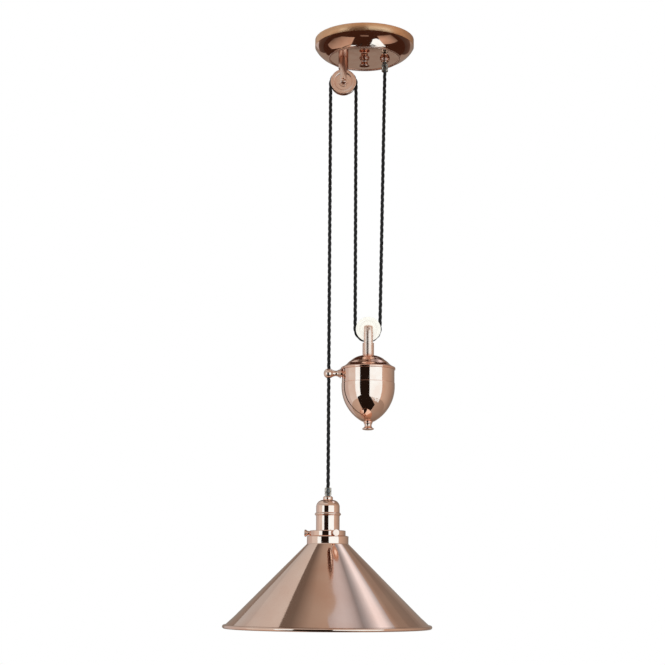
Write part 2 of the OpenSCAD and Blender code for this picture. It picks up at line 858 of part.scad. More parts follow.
module weight_filling() {
    step_z = seam_z - 1;
    color(iron) translate([weight_x, 0, 0]) difference() {
        union() {
            rotate_extrude() bowl_fill(wall_t + filling_gap, step_z);
            rod(filling_d, step_z, lip_end);
        }
        rod(rod_d + 2 * thread_gap, bowl_end, lid_z);
    }
}

module tie_rod() {
    color(steel) translate([weight_x, 0, 0])
        rod(rod_d, bowl_end - finial_h * 0.5, lid_z + rod_bite - 0.5);
}

module weight_finial() {
    color(copper) translate([weight_x, 0, bowl_end]) difference() {
        turned_knob(2 * bowl_end_r - 4, finial_waist_d, finial_d, finial_h);
        rod(rod_d + 2 * thread_gap, -finial_h * 0.5 - 0.5, over);
    }
}

// Turned arm along +Z from its seat on the band at z = 0 to the middle of its ball
module arm_form() {
    seat_r = arm_seat_d / 2;
    flange_r = arm_flange_d / 2;
    waist_r = arm_waist_d / 2;
    flange_z = (lip_d - band_d) / 2 + part_gap;
    flange_end = flange_z + 1.6;
    ring_z = flange_end + 1.8;
    waist_z = arm_l - ball_d / 2 - 2.4;
    turned(concat(
        [[0, -wall_t], [seat_r, -wall_t], [seat_r, flange_z], [flange_r - 0.4, flange_z]],
        bow([flange_r - 0.4, flange_z], [flange_r - 0.4, flange_end], -0.4, 4),
        bow([flange_r - 0.6, flange_end], [waist_r + 1.5, ring_z], 0.4, 4),
        bow([waist_r + 1.5, ring_z], [waist_r, waist_z], 0.3, 5),
        bow([waist_r, waist_z], [waist_r + 1.2, waist_z + 2.6], 0.3, 4),
        [[0, waist_z + 4]]
    ));
    translate([0, 0, arm_l]) sphere(d = ball_d);
}

module guide_arm() {
    color(copper) difference() {
        union() {
            difference() {
                translate([lamp_x + arm_l, 0, guide_z]) rotate([0, -90, 0]) arm_form();
                translate([weight_x, 0, guide_z - ball_d])
                    cylinder(r = band_d / 2 + seat_gap, h = 2 * ball_d);
            }
            translate([weight_x - band_d / 2 - over, 0, guide_z]) rotate([0, 90, 0])
                cylinder(d = guide_thread_d, h = over + wall_t + guide_nut_h + 1);
        }
        translate([lamp_x, 0, guide_z])
            rod(eye_d + 2 * (eye_bush_t + press_gap), -ball_d, ball_d);
    }
}

module guide_nut() {
    inner_r = band_d / 2 - wall_t;
    color(steel) translate([weight_x - inner_r + 0.3, 0, guide_z]) rotate([0, 90, 0])
        hex_nut(guide_nut_af, guide_thread_d + 2 * thread_gap, 0, guide_nut_h);
}

module eye_bush() {
    color(white) translate([lamp_x, 0, guide_z]) difference() {
        rod(eye_d + 2 * eye_bush_t, -eye_bush_l / 2, eye_bush_l / 2);
        rod(eye_d, -ball_d, ball_d);
    }
}

// ---------------------------------------------------------------- lampholder

module lamp_grip() {
    color(clear_plastic) translate([lamp_x, 0, lamp_grip_z - grip_l])
        mirror([0, 0, 1]) cord_grip();
}

module lamp_grip_screw() {
    color(clear_plastic) translate([lamp_x, 0, lamp_grip_z - grip_l])
        mirror([0, 0, 1]) grip_screw();
}

module lamp_ferrule() {
    shoulder = 1.8;
    color(copper) translate([lamp_x, 0, cap_z]) difference() {
        union() {
            turned([[0, 0], [ferrule_d / 2 - 0.4, 0], [ferrule_d / 2, 0.4],
                    [ferrule_d / 2, ferrule_h - shoulder],
                    [ferrule_d / 2 - shoulder, ferrule_h], [0, ferrule_h]]);
            rod(tube_d, -ferrule_tube_l, 0);
        }
        rod(grip_bore_d, -ferrule_tube_l - over, ferrule_h + over);
        rod(grip_neck_d + 2 * thread_gap, ferrule_h + lamp_neck_show - grip_neck_l - 0.4,
            ferrule_h + over);
    }
}

module ferrule_nut() {
    color(steel) translate([lamp_x, 0, 0])
        hex_nut(fork_nut_af, tube_d + 2 * thread_gap, cap_z - holder_t - 3, 3);
}

// Filled outline of the cap, drawn in by t
module cap_fill(t) {
    crown_r = ferrule_d / 2 + 0.6;
    polygon(concat(
        [[0, cap_z - t]],
        bow([crown_r - t / 2, cap_z - t], [holder_r - t, cap_z - cap_dome_h], 3.0, 10),
        [[holder_r - t, skirt_z + flange_h / 2 - t], [0, skirt_z + flange_h / 2 - t]]
    ));
}

module holder_cap() {
    color(copper) translate([lamp_x, 0, 0]) difference() {
        rotate_extrude() difference() {
            cap_fill(0);
            cap_fill(holder_t);
        }
        rod(cap_hole_d, skirt_z, cap_z + over);
    }
}

module union_ring() {
    ring_half = union_h / 2;
    bore_r = holder_r + seat_gap;
    color(copper) translate([lamp_x, 0, skirt_z]) turned(concat(
        [[bore_r, -ring_half]],
        bow([holder_r + 0.5, -ring_half], [union_d / 2, -ring_half / 2], -0.3, 4),
        bow([union_d / 2, ring_half / 2], [holder_r + 0.5, ring_half], -0.3, 4),
        [[bore_r, ring_half]]
    ));
}

module holder_skirt() {
    color(copper) translate([lamp_x, 0, 0]) difference() {
        rod(holder_d, gallery_z, skirt_z - flange_h / 2);
        rod(holder_d - 2 * holder_t, gallery_z - over, skirt_z + over);
    }
}

module terminal_places() {
    for (i = [0:2]) rotate([0, 0, 180 + 120 * i]) translate([terminal_x, 0, 0]) children();
}

// Porcelain body: closed above, bored for the screw shell, its flange under the union ring
module socket_barrel() {
    color(white) translate([lamp_x, 0, 0]) difference() {
        union() {
            rod(2 * barrel_r, barrel_end, barrel_z);
            rod(holder_d, skirt_z - flange_h / 2, skirt_z + flange_h / 2);
        }
        rod(socket_d + 2 * (shell_t + press_gap), barrel_end - over, barrel_floor);
        terminal_places() rod(terminal_d + 2 * press_gap, barrel_floor - over, barrel_z + over);
    }
}

// Screw shell with the tab that leads from its edge to its terminal
module screw_shell() {
    tab_w = 4;
    tab_t = 0.3;
    color(brass) translate([lamp_x, 0, 0]) {
        difference() {
            rod(socket_d + 2 * shell_t, shell_end, shell_z);
            rod(socket_d, shell_end - over, shell_z + over);
        }
        rotate([0, 0, 60]) {
            translate([terminal_x, -tab_w / 2, barrel_floor - tab_t])
                cube([shell_r + tab_t - terminal_x, tab_w, tab_t]);
            translate([shell_r, -tab_w / 2, shell_z - tab_t])
                cube([tab_t, tab_w, barrel_floor - shell_z]);
        }
    }
}

// Sprung tongue under the porcelain that meets the lamp cap
module centre_contact() {
    contact_w = 6;
    contact_t = 0.6;
    nose_h = 3.1;
    color(brass) translate([lamp_x, 0, barrel_floor]) {
        translate([-terminal_x - contact_w / 2, -contact_w / 2, -contact_t])
            cube([terminal_x + contact_w, contact_w, contact_t]);
        turned(concat(
            [[0, -contact_t / 2], [contact_w / 2 - 0.5, -contact_t / 2]],
            bow([contact_w / 2 - 0.5, -contact_t], [0.5, -nose_h], 0.5, 5),
            [[0, -nose_h]]
        ));
    }
}

// Brass posts up through the porcelain that clamp the cores
module socket_terminals() {
    color(brass) translate([lamp_x, 0, 0]) terminal_places()
        rod(terminal_d, barrel_floor, barrel_z + terminal_h);
}

module retaining_ring() {
    ring_h = 4.4;
    color(copper) translate([lamp_x, 0, gallery_z - gallery_t]) difference() {
        rod(2 * ring_r, -ring_h, 0);
        rod(2 * (barrel_r + thread_gap), -ring_h - over, over);
    }
}

// ---------------------------------------------------------------- shade and gallery

module thumb_at(i) {
    rotate([0, 0, thumb_first + 120 * (i - 1) - 90]) rotate([0, 90, 0]) children();
}

// A shallow cup over the shade's collar, clamped under the skirt
module shade_gallery() {
    edge = 1.2;
    color(copper) translate([lamp_x, 0, 0]) difference() {
        turned(concat(
            [[barrel_r + thread_gap, gallery_z]],
            bow([gallery_r - edge, gallery_z], [gallery_r, gallery_z - edge], 0.35, 5),
            [[gallery_r, gallery_end], [gallery_r - gallery_t, gallery_end],
             [gallery_r - gallery_t, gallery_z - gallery_t],
             [barrel_r + thread_gap, gallery_z - gallery_t]]
        ));
        for (i = [1:3]) translate([0, 0, thumb_z]) thumb_at(i)
            rod(thumb_shank_d + 2 * run_gap, collar_r - over, gallery_r + over);
    }
}

// Spun shade: collar inside the gallery, shoulder, neck, cone and rolled rim
module shade() {
    lean = shade_t / cos(cone_angle);
    rise = shade_t * tan(cone_angle / 2);
    in = shade_t * tan(cone_angle);
    color(copper) translate([lamp_x, 0, 0]) {
        turned([
            [collar_r - shade_t, collar_top], [collar_r, collar_top], [collar_r, gallery_end],
            [neck_r - 2.5, gallery_end], [neck_r + shade_lip, gallery_end - 1.4],
            [neck_r, gallery_end - 2.2],
            [neck_r, neck_end], [mouth_r - in, mouth_z + shade_t],
            [mouth_r - in - lean, mouth_z + shade_t], [neck_r - shade_t, neck_end - rise],
            [neck_r - shade_t, gallery_end - shade_t], [collar_r - shade_t, gallery_end - shade_t]
        ]);
        rotate_extrude() translate([mouth_r, mouth_z]) circle(d = rolled_d);
    }
}

module thumb_screw(i) {
    tip_r = collar_r + part_gap;
    edge = 0.7;
    color(copper) translate([lamp_x, 0, thumb_z]) thumb_at(i) {
        rod(thumb_shank_d, tip_r, thumb_head_r);
        rod(thumb_collar_d, gallery_r + part_gap, thumb_head_r + edge);
        translate([0, 0, thumb_head_r]) turned([
            [0, 0], [thumb_d / 2 - edge, 0], [thumb_d / 2, edge],
            [thumb_d / 2, thumb_l - edge], [thumb_d / 2 - edge, thumb_l], [0, thumb_l]
        ]);
    }
}

module thumb_screw_1() { thumb_screw(1); }
module thumb_screw_2() { thumb_screw(2); }
module thumb_screw_3() { thumb_screw(3); }

// Cord from the lamp's grip into the cap
module lamp_cord_tail() {
    color(black) translate([lamp_x, 0, 0]) rod(cord_d, core_split_z, lamp_grip_z);
}

// The cord's three cores spread to the inner sides of the three posts
module lamp_cores() {
    start_r = 0.6 * core_d;
    end_r = terminal_x - terminal_d / 2 - core_d / 2 - seat_gap;
    color(black) translate([lamp_x, 0, core_split_z]) for (i = [0:2])
        rotate([0, 0, 180 + 120 * i]) rotate([90, 0, 0]) translate([start_r, 0, 0])
            core_lead(end_r - start_r, core_split_z - barrel_z - thread_gap);
}

ceiling_strap();
canopy_stud();
stud_nut();
load_bar();
canopy();
canopy_knob();
upper_fork();
fork_nut();
upper_axle();
cord_boss();
boss_nut();
canopy_grip();
canopy_grip_screw();
terminal_block();
terminal_tubes();
terminal_screws();
block_screws();
canopy_cord_tail();
canopy_cores();
upper_cord_loop();
right_cord_run();
middle_cord_run();
lamp_cord_run();
upper_wheel();
upper_bush();
weight_fork();
weight_axle();
weight_lid();
weight_band();
weight_bowl();
weight_filling();
tie_rod();
weight_finial();
guide_arm();
guide_nut();
eye_bush();
weight_cord_loop();
weight_wheel();
weight_bush();
lamp_grip();
lamp_grip_screw();
lamp_ferrule();
ferrule_nut();
holder_cap();
union_ring();
holder_skirt();
socket_barrel();
screw_shell();
centre_contact();
socket_terminals();
retaining_ring();
shade_gallery();
shade();
lamp_cord_tail();
lamp_cores();
thumb_screw_1();
thumb_screw_2();
thumb_screw_3();
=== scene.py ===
"""Looks for a rise and fall pendant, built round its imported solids.

Sizes in the classes are millimetres in the frame of the solids: the origin is on the
ceiling at the middle of the canopy, +Z is up and the viewer stands towards -Y.
"""

import logging
import math
from collections.abc import Iterable, Sequence
from dataclasses import dataclass, field
from enum import Enum
from typing import Protocol

import bmesh
import bpy
from bpy.types import Material, Mesh, Node, NodeSocket, NodeTree, Object
from mathutils import Matrix, Vector


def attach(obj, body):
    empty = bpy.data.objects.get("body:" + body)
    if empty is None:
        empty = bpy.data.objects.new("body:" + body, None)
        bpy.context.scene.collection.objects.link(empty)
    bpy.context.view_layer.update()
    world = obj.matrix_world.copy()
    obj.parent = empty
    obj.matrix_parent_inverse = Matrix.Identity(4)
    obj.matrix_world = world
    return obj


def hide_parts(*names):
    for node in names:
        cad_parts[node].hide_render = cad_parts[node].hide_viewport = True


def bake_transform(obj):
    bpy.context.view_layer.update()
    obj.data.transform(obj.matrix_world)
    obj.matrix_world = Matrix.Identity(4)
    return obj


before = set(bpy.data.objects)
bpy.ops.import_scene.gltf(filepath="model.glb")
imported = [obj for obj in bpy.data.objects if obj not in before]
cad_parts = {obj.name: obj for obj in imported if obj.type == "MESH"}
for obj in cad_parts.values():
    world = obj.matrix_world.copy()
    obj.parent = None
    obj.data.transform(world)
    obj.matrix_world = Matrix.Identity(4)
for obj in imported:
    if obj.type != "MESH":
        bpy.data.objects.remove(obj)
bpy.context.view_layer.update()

log = logging.getLogger("pendant")

MM = 0.001
TURN = 2 * math.pi
# edges sharper than this stay sharp, or are rounded where a piece is softened
SHARP = math.radians(38)
Point = tuple[float, float]
Place = tuple[float, float, float]


class Body(Enum):
    """Rigid bodies that a piece can ride on."""

    CEILING = "ceiling"
    UPPER_PULLEY = "upper_pulley"
    COUNTERWEIGHT = "counterweight"
    WEIGHT_PULLEY = "weight_pulley"
    LAMP = "lamp"
    THUMB_1 = "thumb_1"
    THUMB_2 = "thumb_2"
    THUMB_3 = "thumb_3"


class Slot(Enum):
    """Material slots of the record."""

    COPPER = "copper"
    STEEL = "plated_steel"
    BRASS = "brass"
    IRON = "iron"
    PORCELAIN = "porcelain"
    NYLON = "white_nylon"
    CLEAR = "clear_plastic"
    CORD = "cord"


class Facing(Enum):
    """Where a turned piece's own +Z ends up."""

    UP = "up"
    FRONT = "front"
    LEFT = "left"

    @property
    def matrix(self) -> Matrix:
        """Rotation from the lathe's axis to this direction."""
        if self is Facing.FRONT:
            return Matrix.Rotation(math.radians(90), 4, "X")
        if self is Facing.LEFT:
            return Matrix.Rotation(math.radians(-90), 4, "Y")
        return Matrix.Identity(4)


def linear(code: str, alpha: float = 1.0) -> tuple[float, float, float, float]:
    """Turn an sRGB hex colour to the linear values that shaders take.

    Args:
        code: colour such as "#C08060".
        alpha: fourth value.

    Returns:
        Linear red, green, blue and alpha.
    """
    raw = [int(code[i : i + 2], 16) / 255 for i in (1, 3, 5)]
    r, g, b = (v / 12.92 if v <= 0.04045 else ((v + 0.055) / 1.055) ** 2.4 for v in raw)
    return r, g, b, alpha


def bow(start: Point, end: Point, sag: float, steps: int = 12) -> list[Point]:
    """Points of a circular arc that bows out to the left of the way by sag.

    Args:
        start: first point.
        end: last point.
        sag: height of the arc over its chord; negative bows to the right.
        steps: number of segments.

    Returns:
        The arc's points, both ends included.
    """
    p, q = Vector(start), Vector(end)
    chord = (q - p).length
    along = (q - p) / chord
    left = Vector((-along.y, along.x))
    half = 2 * math.atan(2 * sag / chord)
    radius = chord / (2 * math.sin(half))
    out = []
    for i in range(steps + 1):
        a = half * (2 * i / steps - 1)
        v = (p + q) / 2 + along * radius * math.sin(a) + left * (radius * math.cos(a) - radius + sag)
        out.append((v.x, v.y))
    return out


def add_node(
    tree: NodeTree, kind: str, settings: dict[str, object] | None = None,
    inputs: dict[str | int, object] | None = None,
) -> Node:
    """Add a shader node with its settings and its values or links.

    Args:
        tree: node tree to add to.
        kind: Blender's name of the node type.
        settings: properties of the node.
        inputs: socket name or number to a value, or to a socket to link from.

    Returns:
        The new node.
    """
    node = tree.nodes.new(kind)
    for key, value in (settings or {}).items():
        setattr(node, key, value)
    for key, value in (inputs or {}).items():
        if isinstance(value, NodeSocket):
            tree.links.new(value, node.inputs[key])
        else:
            node.inputs[key].default_value = value
    return node


class Finish(Protocol):
    """What every finish offers."""

    def material(self) -> Material:
        """Build the shader."""


def start_material(name: str) -> tuple[Material, NodeTree, Node, Node]:
    """Make an empty node material with a Principled shader and object coordinates.

    Args:
        name: name of the material.

    Returns:
        The material, its tree, its shader and its coordinate node.
    """
    mat = bpy.data.materials.new(name)
    mat.use_nodes = True
    tree = mat.node_tree
    tree.nodes.clear()
    shader = add_node(tree, "ShaderNodeBsdfPrincipled")
    add_node(tree, "ShaderNodeOutputMaterial", inputs={"Surface": shader.outputs["BSDF"]})
    coords = add_node(tree, "ShaderNodeTexCoord")
    return mat, tree, shader, coords


@dataclass(frozen=True)
class BuffedCopper:
    """Copper plate on turned or spun brass, buffed and lacquered.

    Buffing leaves a clear mirror with very fine rings round the lathe's axis, a slightly
    deeper red where the plate is thicker, and faint clouds in the lacquer. Wide sheet that
    is spun thin also keeps shallow dents from the roller.
    """

    name: str
    centre: Place = (0.0, 0.0, 0.0)
    facing: Facing = Facing.UP
    colour: str = "#FAD0BA"
    deep: str = "#F4C3AB"
    roughness: float = 0.05
    haze: float = 0.03
    ring_mm: float = 0.5
    ring_depth_mm: float = 0.0001
    cloud_mm: float = 14.0
    dent_mm: float = 0.0

    def material(self) -> Material:
        """Build the shader."""
        mat, tree, shader, coords = start_material(self.name)
        turn = self.facing.matrix.inverted() @ Matrix.Translation(-Vector(self.centre) * MM)
        place = add_node(
            tree,
            "ShaderNodeMapping",
            {"vector_type": "POINT"},
            {
                "Vector": coords.outputs["Object"], "Location": turn.to_translation(),
                "Rotation": turn.to_euler("XYZ"),
            },
        )
        cloud = add_node(
            tree, "ShaderNodeTexNoise",
            inputs={"Vector": coords.outputs["Object"], "Scale": 1 / (self.cloud_mm * MM), "Detail": 4.0},
        )
        rings = add_node(
            tree,
            "ShaderNodeTexWave",
            {"wave_type": "RINGS", "rings_direction": "Z", "wave_profile": "SIN"},
            {
                "Vector": place.outputs["Vector"],
                # a wave texture's own period is a tenth of its unit over pi
                "Scale": math.pi / (10 * self.ring_mm * MM),
                "Distortion": 2.0,
                "Detail": 3.0,
                "Detail Scale": 2.0,
            },
        )
        tint = add_node(
            tree,
            "ShaderNodeMix",
            {"data_type": "RGBA"},
            {
                "Factor": add_node(
                    tree, "ShaderNodeMapRange",
                    inputs={"Value": cloud.outputs["Fac"], "From Min": 0.35, "From Max": 0.7},
                ).outputs["Result"],
                6: linear(self.colour),
                7: linear(self.deep),
            },
        )
        gloss = add_node(
            tree,
            "ShaderNodeMapRange",
            inputs={
                "Value": add_node(
                    tree, "ShaderNodeMath", {"operation": "MULTIPLY"},
                    {0: cloud.outputs["Fac"], 1: rings.outputs["Fac"]},
                ).outputs["Value"],
                "From Min": 0.0,
                "From Max": 0.8,
                "To Min": self.roughness,
                "To Max": self.roughness + self.haze,
            },
        )
        bump = add_node(
            tree, "ShaderNodeBump",
            inputs={"Height": rings.outputs["Fac"], "Distance": self.ring_depth_mm * MM, "Strength": 1.0},
        )
        if self.dent_mm:
            bump = add_node(
                tree,
                "ShaderNodeBump",
                inputs={
                    "Height": cloud.outputs["Fac"], "Distance": self.dent_mm * MM, "Strength": 1.0,
                    "Normal": bump.outputs["Normal"],
                },
            )
        shader.inputs["Metallic"].default_value = 1.0
        tree.links.new(tint.outputs[2], shader.inputs["Base Color"])
        tree.links.new(gloss.outputs["Result"], shader.inputs["Roughness"])
        tree.links.new(bump.outputs["Normal"], shader.inputs["Normal"])
        return mat


@dataclass(frozen=True)
class PlainMetal:
    """A metal as it left the machine or the plating bath: even, a little blotchy, with a
    fine grain that keeps its reflections soft."""

    name: str
    colour: str
    stain: str
    roughness: float
    grain_mm: float = 0.4
    blotch_mm: float = 9.0
    depth_mm: float = 0.004

    def material(self) -> Material:
        """Build the shader."""
        mat, tree, shader, coords = start_material(self.name)
        grain = add_node(
            tree, "ShaderNodeTexNoise",
            inputs={"Vector": coords.outputs["Object"], "Scale": 1 / (self.grain_mm * MM), "Detail": 3.0},
        )
        blotch = add_node(
            tree, "ShaderNodeTexNoise",
            inputs={"Vector": coords.outputs["Object"], "Scale": 1 / (self.blotch_mm * MM), "Detail": 5.0},
        )
        tint = add_node(
            tree, "ShaderNodeMix", {"data_type": "RGBA"},
            {"Factor": blotch.outputs["Fac"], 6: linear(self.colour), 7: linear(self.stain)},
        )
        gloss = add_node(
            tree,
            "ShaderNodeMapRange",
            inputs={
                "Value": grain.outputs["Fac"], "To Min": self.roughness * 0.75,
                "To Max": self.roughness * 1.3,
            },
        )
        bump = add_node(
            tree, "ShaderNodeBump",
            inputs={"Height": grain.outputs["Fac"], "Distance": self.depth_mm * MM, "Strength": 1.0},
        )
        shader.inputs["Metallic"].default_value = 1.0
        tree.links.new(tint.outputs[2], shader.inputs["Base Color"])
        tree.links.new(gloss.outputs["Result"], shader.inputs["Roughness"])
        tree.links.new(bump.outputs["Normal"], shader.inputs["Normal"])
        return mat


@dataclass(frozen=True)
class Moulded:
    """Moulded nylon, melamine or glazed porcelain: one body colour with slight clouds,
    and a surface that copies the mould or runs smooth in the kiln."""

    name: str
    colour: str
    shade: str
    roughness: float
    ior: float = 1.5
    coat: float = 0.0
    texture_mm: float = 1.5
    depth_mm: float = 0.002

    def material(self) -> Material:
        """Build the shader."""
        mat, tree, shader, coords = start_material(self.name)
        cloud = add_node(
            tree, "ShaderNodeTexNoise",
            inputs={"Vector": coords.outputs["Object"], "Scale": 1 / (6 * MM), "Detail": 4.0},
        )
        texture = add_node(
            tree, "ShaderNodeTexNoise",
            inputs={"Vector": coords.outputs["Object"], "Scale": 1 / (self.texture_mm * MM), "Detail": 2.0},
        )
        tint = add_node(
            tree, "ShaderNodeMix", {"data_type": "RGBA"},
            {"Factor": cloud.outputs["Fac"], 6: linear(self.colour), 7: linear(self.shade)},
        )
        bump = add_node(
            tree, "ShaderNodeBump",
            inputs={"Height": texture.outputs["Fac"], "Distance": self.depth_mm * MM, "Strength": 1.0},
        )
        shader.inputs["Roughness"].default_value = self.roughness
        shader.inputs["IOR"].default_value = self.ior
        shader.inputs["Coat Weight"].default_value = self.coat
        shader.inputs["Coat Roughness"].default_value = 0.05
        tree.links.new(tint.outputs[2], shader.inputs["Base Color"])
        tree.links.new(bump.outputs["Normal"], shader.inputs["Normal"])
        return mat


@dataclass(frozen=True)
class ClearNylon:
    """Clear injection-moulded nylon: milky grey-white, soft gloss, and the cord shows
    through it as a dim line."""

    name: str = "clear moulded nylon"
    colour: str = "#C6C2B8"
    roughness: float = 0.14
    transmission: float = 0.94

    def material(self) -> Material:
        """Build the shader."""
        mat, tree, shader, coords = start_material(self.name)
        flow = add_node(
            tree, "ShaderNodeTexNoise",
            inputs={"Vector": coords.outputs["Object"], "Scale": 1 / (1.5 * MM), "Detail": 2.0},
        )
        tint = add_node(
            tree, "ShaderNodeMix", {"data_type": "RGBA"},
            {"Factor": flow.outputs["Fac"], 6: linear(self.colour), 7: linear("#B9B5AB")},
        )
        bump = add_node(
            tree, "ShaderNodeBump",
            inputs={"Height": flow.outputs["Fac"], "Distance": 0.004 * MM, "Strength": 1.0},
        )
        shader.inputs["Roughness"].default_value = self.roughness
        shader.inputs["IOR"].default_value = 1.5
        shader.inputs["Transmission Weight"].default_value = self.transmission
        tree.links.new(tint.outputs[2], shader.inputs["Base Color"])
        tree.links.new(bump.outputs["Normal"], shader.inputs["Normal"])
        return mat


@dataclass(frozen=True)
class BraidedCotton:
    """Cotton braid over each core of a twisted lighting cord: matt, near black, with the
    thread's diagonal crossings. Its UV map is in millimetres along and round the core."""

    name: str = "braided cotton"
    colour: str = "#0A0807"
    worn: str = "#1A1411"
    thread_mm: float = 0.5

    def material(self) -> Material:
        """Build the shader."""
        mat, tree, shader, coords = start_material(self.name)
        bands = []
        for angle in (45, -45):
            turned = add_node(
                tree, "ShaderNodeMapping", {"vector_type": "POINT"},
                {"Vector": coords.outputs["UV"], "Rotation": (0.0, 0.0, math.radians(angle))},
            )
            bands.append(
                add_node(
                    tree,
                    "ShaderNodeTexWave",
                    {"wave_type": "BANDS", "bands_direction": "X", "wave_profile": "SIN"},
                    {
                        "Vector": turned.outputs["Vector"], "Scale": math.pi / (10 * self.thread_mm),
                        "Distortion": 0.6, "Detail": 1.0,
                    },
                )
            )
        weave = add_node(
            tree, "ShaderNodeMath", {"operation": "MAXIMUM"},
            {0: bands[0].outputs["Fac"], 1: bands[1].outputs["Fac"]},
        )
        tint = add_node(
            tree, "ShaderNodeMix", {"data_type": "RGBA"},
            {"Factor": weave.outputs["Value"], 6: linear(self.colour), 7: linear(self.worn)},
        )
        bump = add_node(
            tree, "ShaderNodeBump",
            inputs={"Height": weave.outputs["Value"], "Distance": 0.08 * MM, "Strength": 0.8},
        )
        shader.inputs["Roughness"].default_value = 0.82
        shader.inputs["Sheen Weight"].default_value = 0.03
        shader.inputs["Sheen Roughness"].default_value = 0.4
        tree.links.new(tint.outputs[2], shader.inputs["Base Color"])
        tree.links.new(bump.outputs["Normal"], shader.inputs["Normal"])
        return mat


ZINC = PlainMetal("zinc plated steel", "#C3C6C9", "#A8A79C", 0.34)
BRASS = PlainMetal("plain brass", "#D9B56B", "#B98F45", 0.26)
NYLON = Moulded("white moulded nylon", "#FBF9F1", "#F5F2E8", 0.32)


@dataclass
class Bench:
    """Where pieces are made: it owns the materials and hands each piece to its body."""

    made: dict[str, Material] = field(default_factory=dict)

    def dress(self, piece: Object, *finishes: Finish) -> None:
        """Give a piece its materials, in the order of its slots."""
        piece.data.materials.clear()
        for finish in finishes:
            if finish.name not in self.made:
                self.made[finish.name] = finish.material()
            piece.data.materials.append(self.made[finish.name])

    def node(self, name: str, finish: Finish) -> None:
        """Give a carried-over node a better material."""
        self.dress(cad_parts[name], finish)
        log.info("node %s keeps its solid, in %s", name, finish.name)

    def place(self, piece: Object, body: Body, slot: Slot, replaces: Sequence[str] = ()) -> Object:
        """Hand a finished piece to its body.

        Args:
            piece: the piece, in place, at the origin.
            body: body that it rides on.
            slot: the record's slot for the piece; not used.
            replaces: nodes that it stands for.

        Returns:
            The same piece.
        """
        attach(piece, body.value)
        if replaces:
            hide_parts(*replaces)
        log.info("%s rides on %s, %d faces", piece.name, body.value, len(piece.data.polygons))
        return piece


def finish_mesh(bm: bmesh.types.BMesh, name: str) -> Object:
    """Turn a bmesh in millimetres into an object at the origin.

    Args:
        bm: the shape; it is freed.
        name: name of the object.

    Returns:
        The object, smooth shaded.
    """
    bmesh.ops.scale(bm, vec=(MM, MM, MM), verts=bm.verts)
    mesh = bpy.data.meshes.new(name)
    bm.to_mesh(mesh)
    bm.free()
    mesh.shade_smooth()
    mesh.set_sharp_from_angle(angle=SHARP)
    piece = bpy.data.objects.new(name, mesh)
    bpy.context.scene.collection.objects.link(piece)
    return piece


def soften(piece: Object, width_mm: float) -> Object:
    """Round a piece's sharp edges with a bevel.

    Args:
        piece: the piece.
        width_mm: width of the rounding.

    Returns:
        The same piece.
    """
    bevel = piece.modifiers.new("rounded edges", "BEVEL")
    bevel.width = width_mm * MM
    bevel.segments = 2
    bevel.limit_method = "ANGLE"
    bevel.angle_limit = SHARP
    bevel.harden_normals = True
    bevel.use_clamp_overlap = True
    return piece


def turned(points: Sequence[Point], steps: int = 128) -> bmesh.types.BMesh:
    """Turn a profile of (radius, height) points about Z.

    Args:
        points: the profile. If both its ends are on the axis the shape is closed by its
            poles, and otherwise the profile is closed into a ring.
        steps: steps round the axis.

    Returns:
        The turned shape with its faces outwards.
    """
    bm = bmesh.new()
    wire = [bm.verts.new((r, 0, z)) for r, z in points]
    edges = [bm.edges.new(pair) for pair in zip(wire, wire[1:])]
    if points[0][0] > 0 or points[-1][0] > 0:
        edges.append(bm.edges.new((wire[-1], wire[0])))
    bmesh.ops.spin(
        bm, geom=wire + edges, cent=(0, 0, 0), axis=(0, 0, 1), angle=TURN, steps=steps, use_merge=True,
    )
    bmesh.ops.remove_doubles(bm, verts=bm.verts, dist=1e-4)
    bmesh.ops.recalc_face_normals(bm, faces=bm.faces)
    return bm


def stand(bm: bmesh.types.BMesh, at: Place, facing: Facing = Facing.UP) -> bmesh.types.BMesh:
    """Turn a shape from the lathe's axis and move it to its place, in millimetres."""
    bmesh.ops.transform(bm, matrix=Matrix.Translation(at) @ facing.matrix, verts=bm.verts)
    return bm


def carve(piece: Object, cutters: Iterable[bmesh.types.BMesh]) -> Object:
    """Cut shapes out of a piece, which keeps its name and place.

    Args:
        piece: the piece.
        cutters: shapes in millimetres; they are used up.

    Returns:
        The same piece.
    """
    for bm in cutters:
        tool = finish_mesh(bm, "cutter")
        cut = piece.modifiers.new("cut", "BOOLEAN")
        cut.operation = "DIFFERENCE"
        cut.solver = "EXACT"
        cut.object = tool
        graph = bpy.context.evaluated_depsgraph_get()
        shape: Mesh = bpy.data.meshes.new_from_object(piece.evaluated_get(graph))
        piece.modifiers.clear()
        old = piece.data
        piece.data = shape
        shape.name = piece.name
        bpy.data.meshes.remove(old)
        spent = tool.data
        bpy.data.objects.remove(tool)
        bpy.data.meshes.remove(spent)
    piece.data.shade_smooth()
    piece.data.set_sharp_from_angle(angle=SHARP)
    return piece


def bar(d: float, start: float, end: float, steps: int = 96) -> bmesh.types.BMesh:
    """Round bar along Z from start to end."""
    return turned([(0, start), (d / 2, start), (d / 2, end), (0, end)], steps)


def block(low: Place, high: Place) -> bmesh.types.BMesh:
    """Rectangular block between two corners."""
    bm = bmesh.new()
    bmesh.ops.create_cube(bm, size=1.0)
    size = [b - a for a, b in zip(low, high)]
    middle = [(a + b) / 2 for a, b in zip(low, high)]
    bmesh.ops.scale(bm, vec=size, verts=bm.verts)
    bmesh.ops.translate(bm, vec=middle, verts=bm.verts)
    return bm


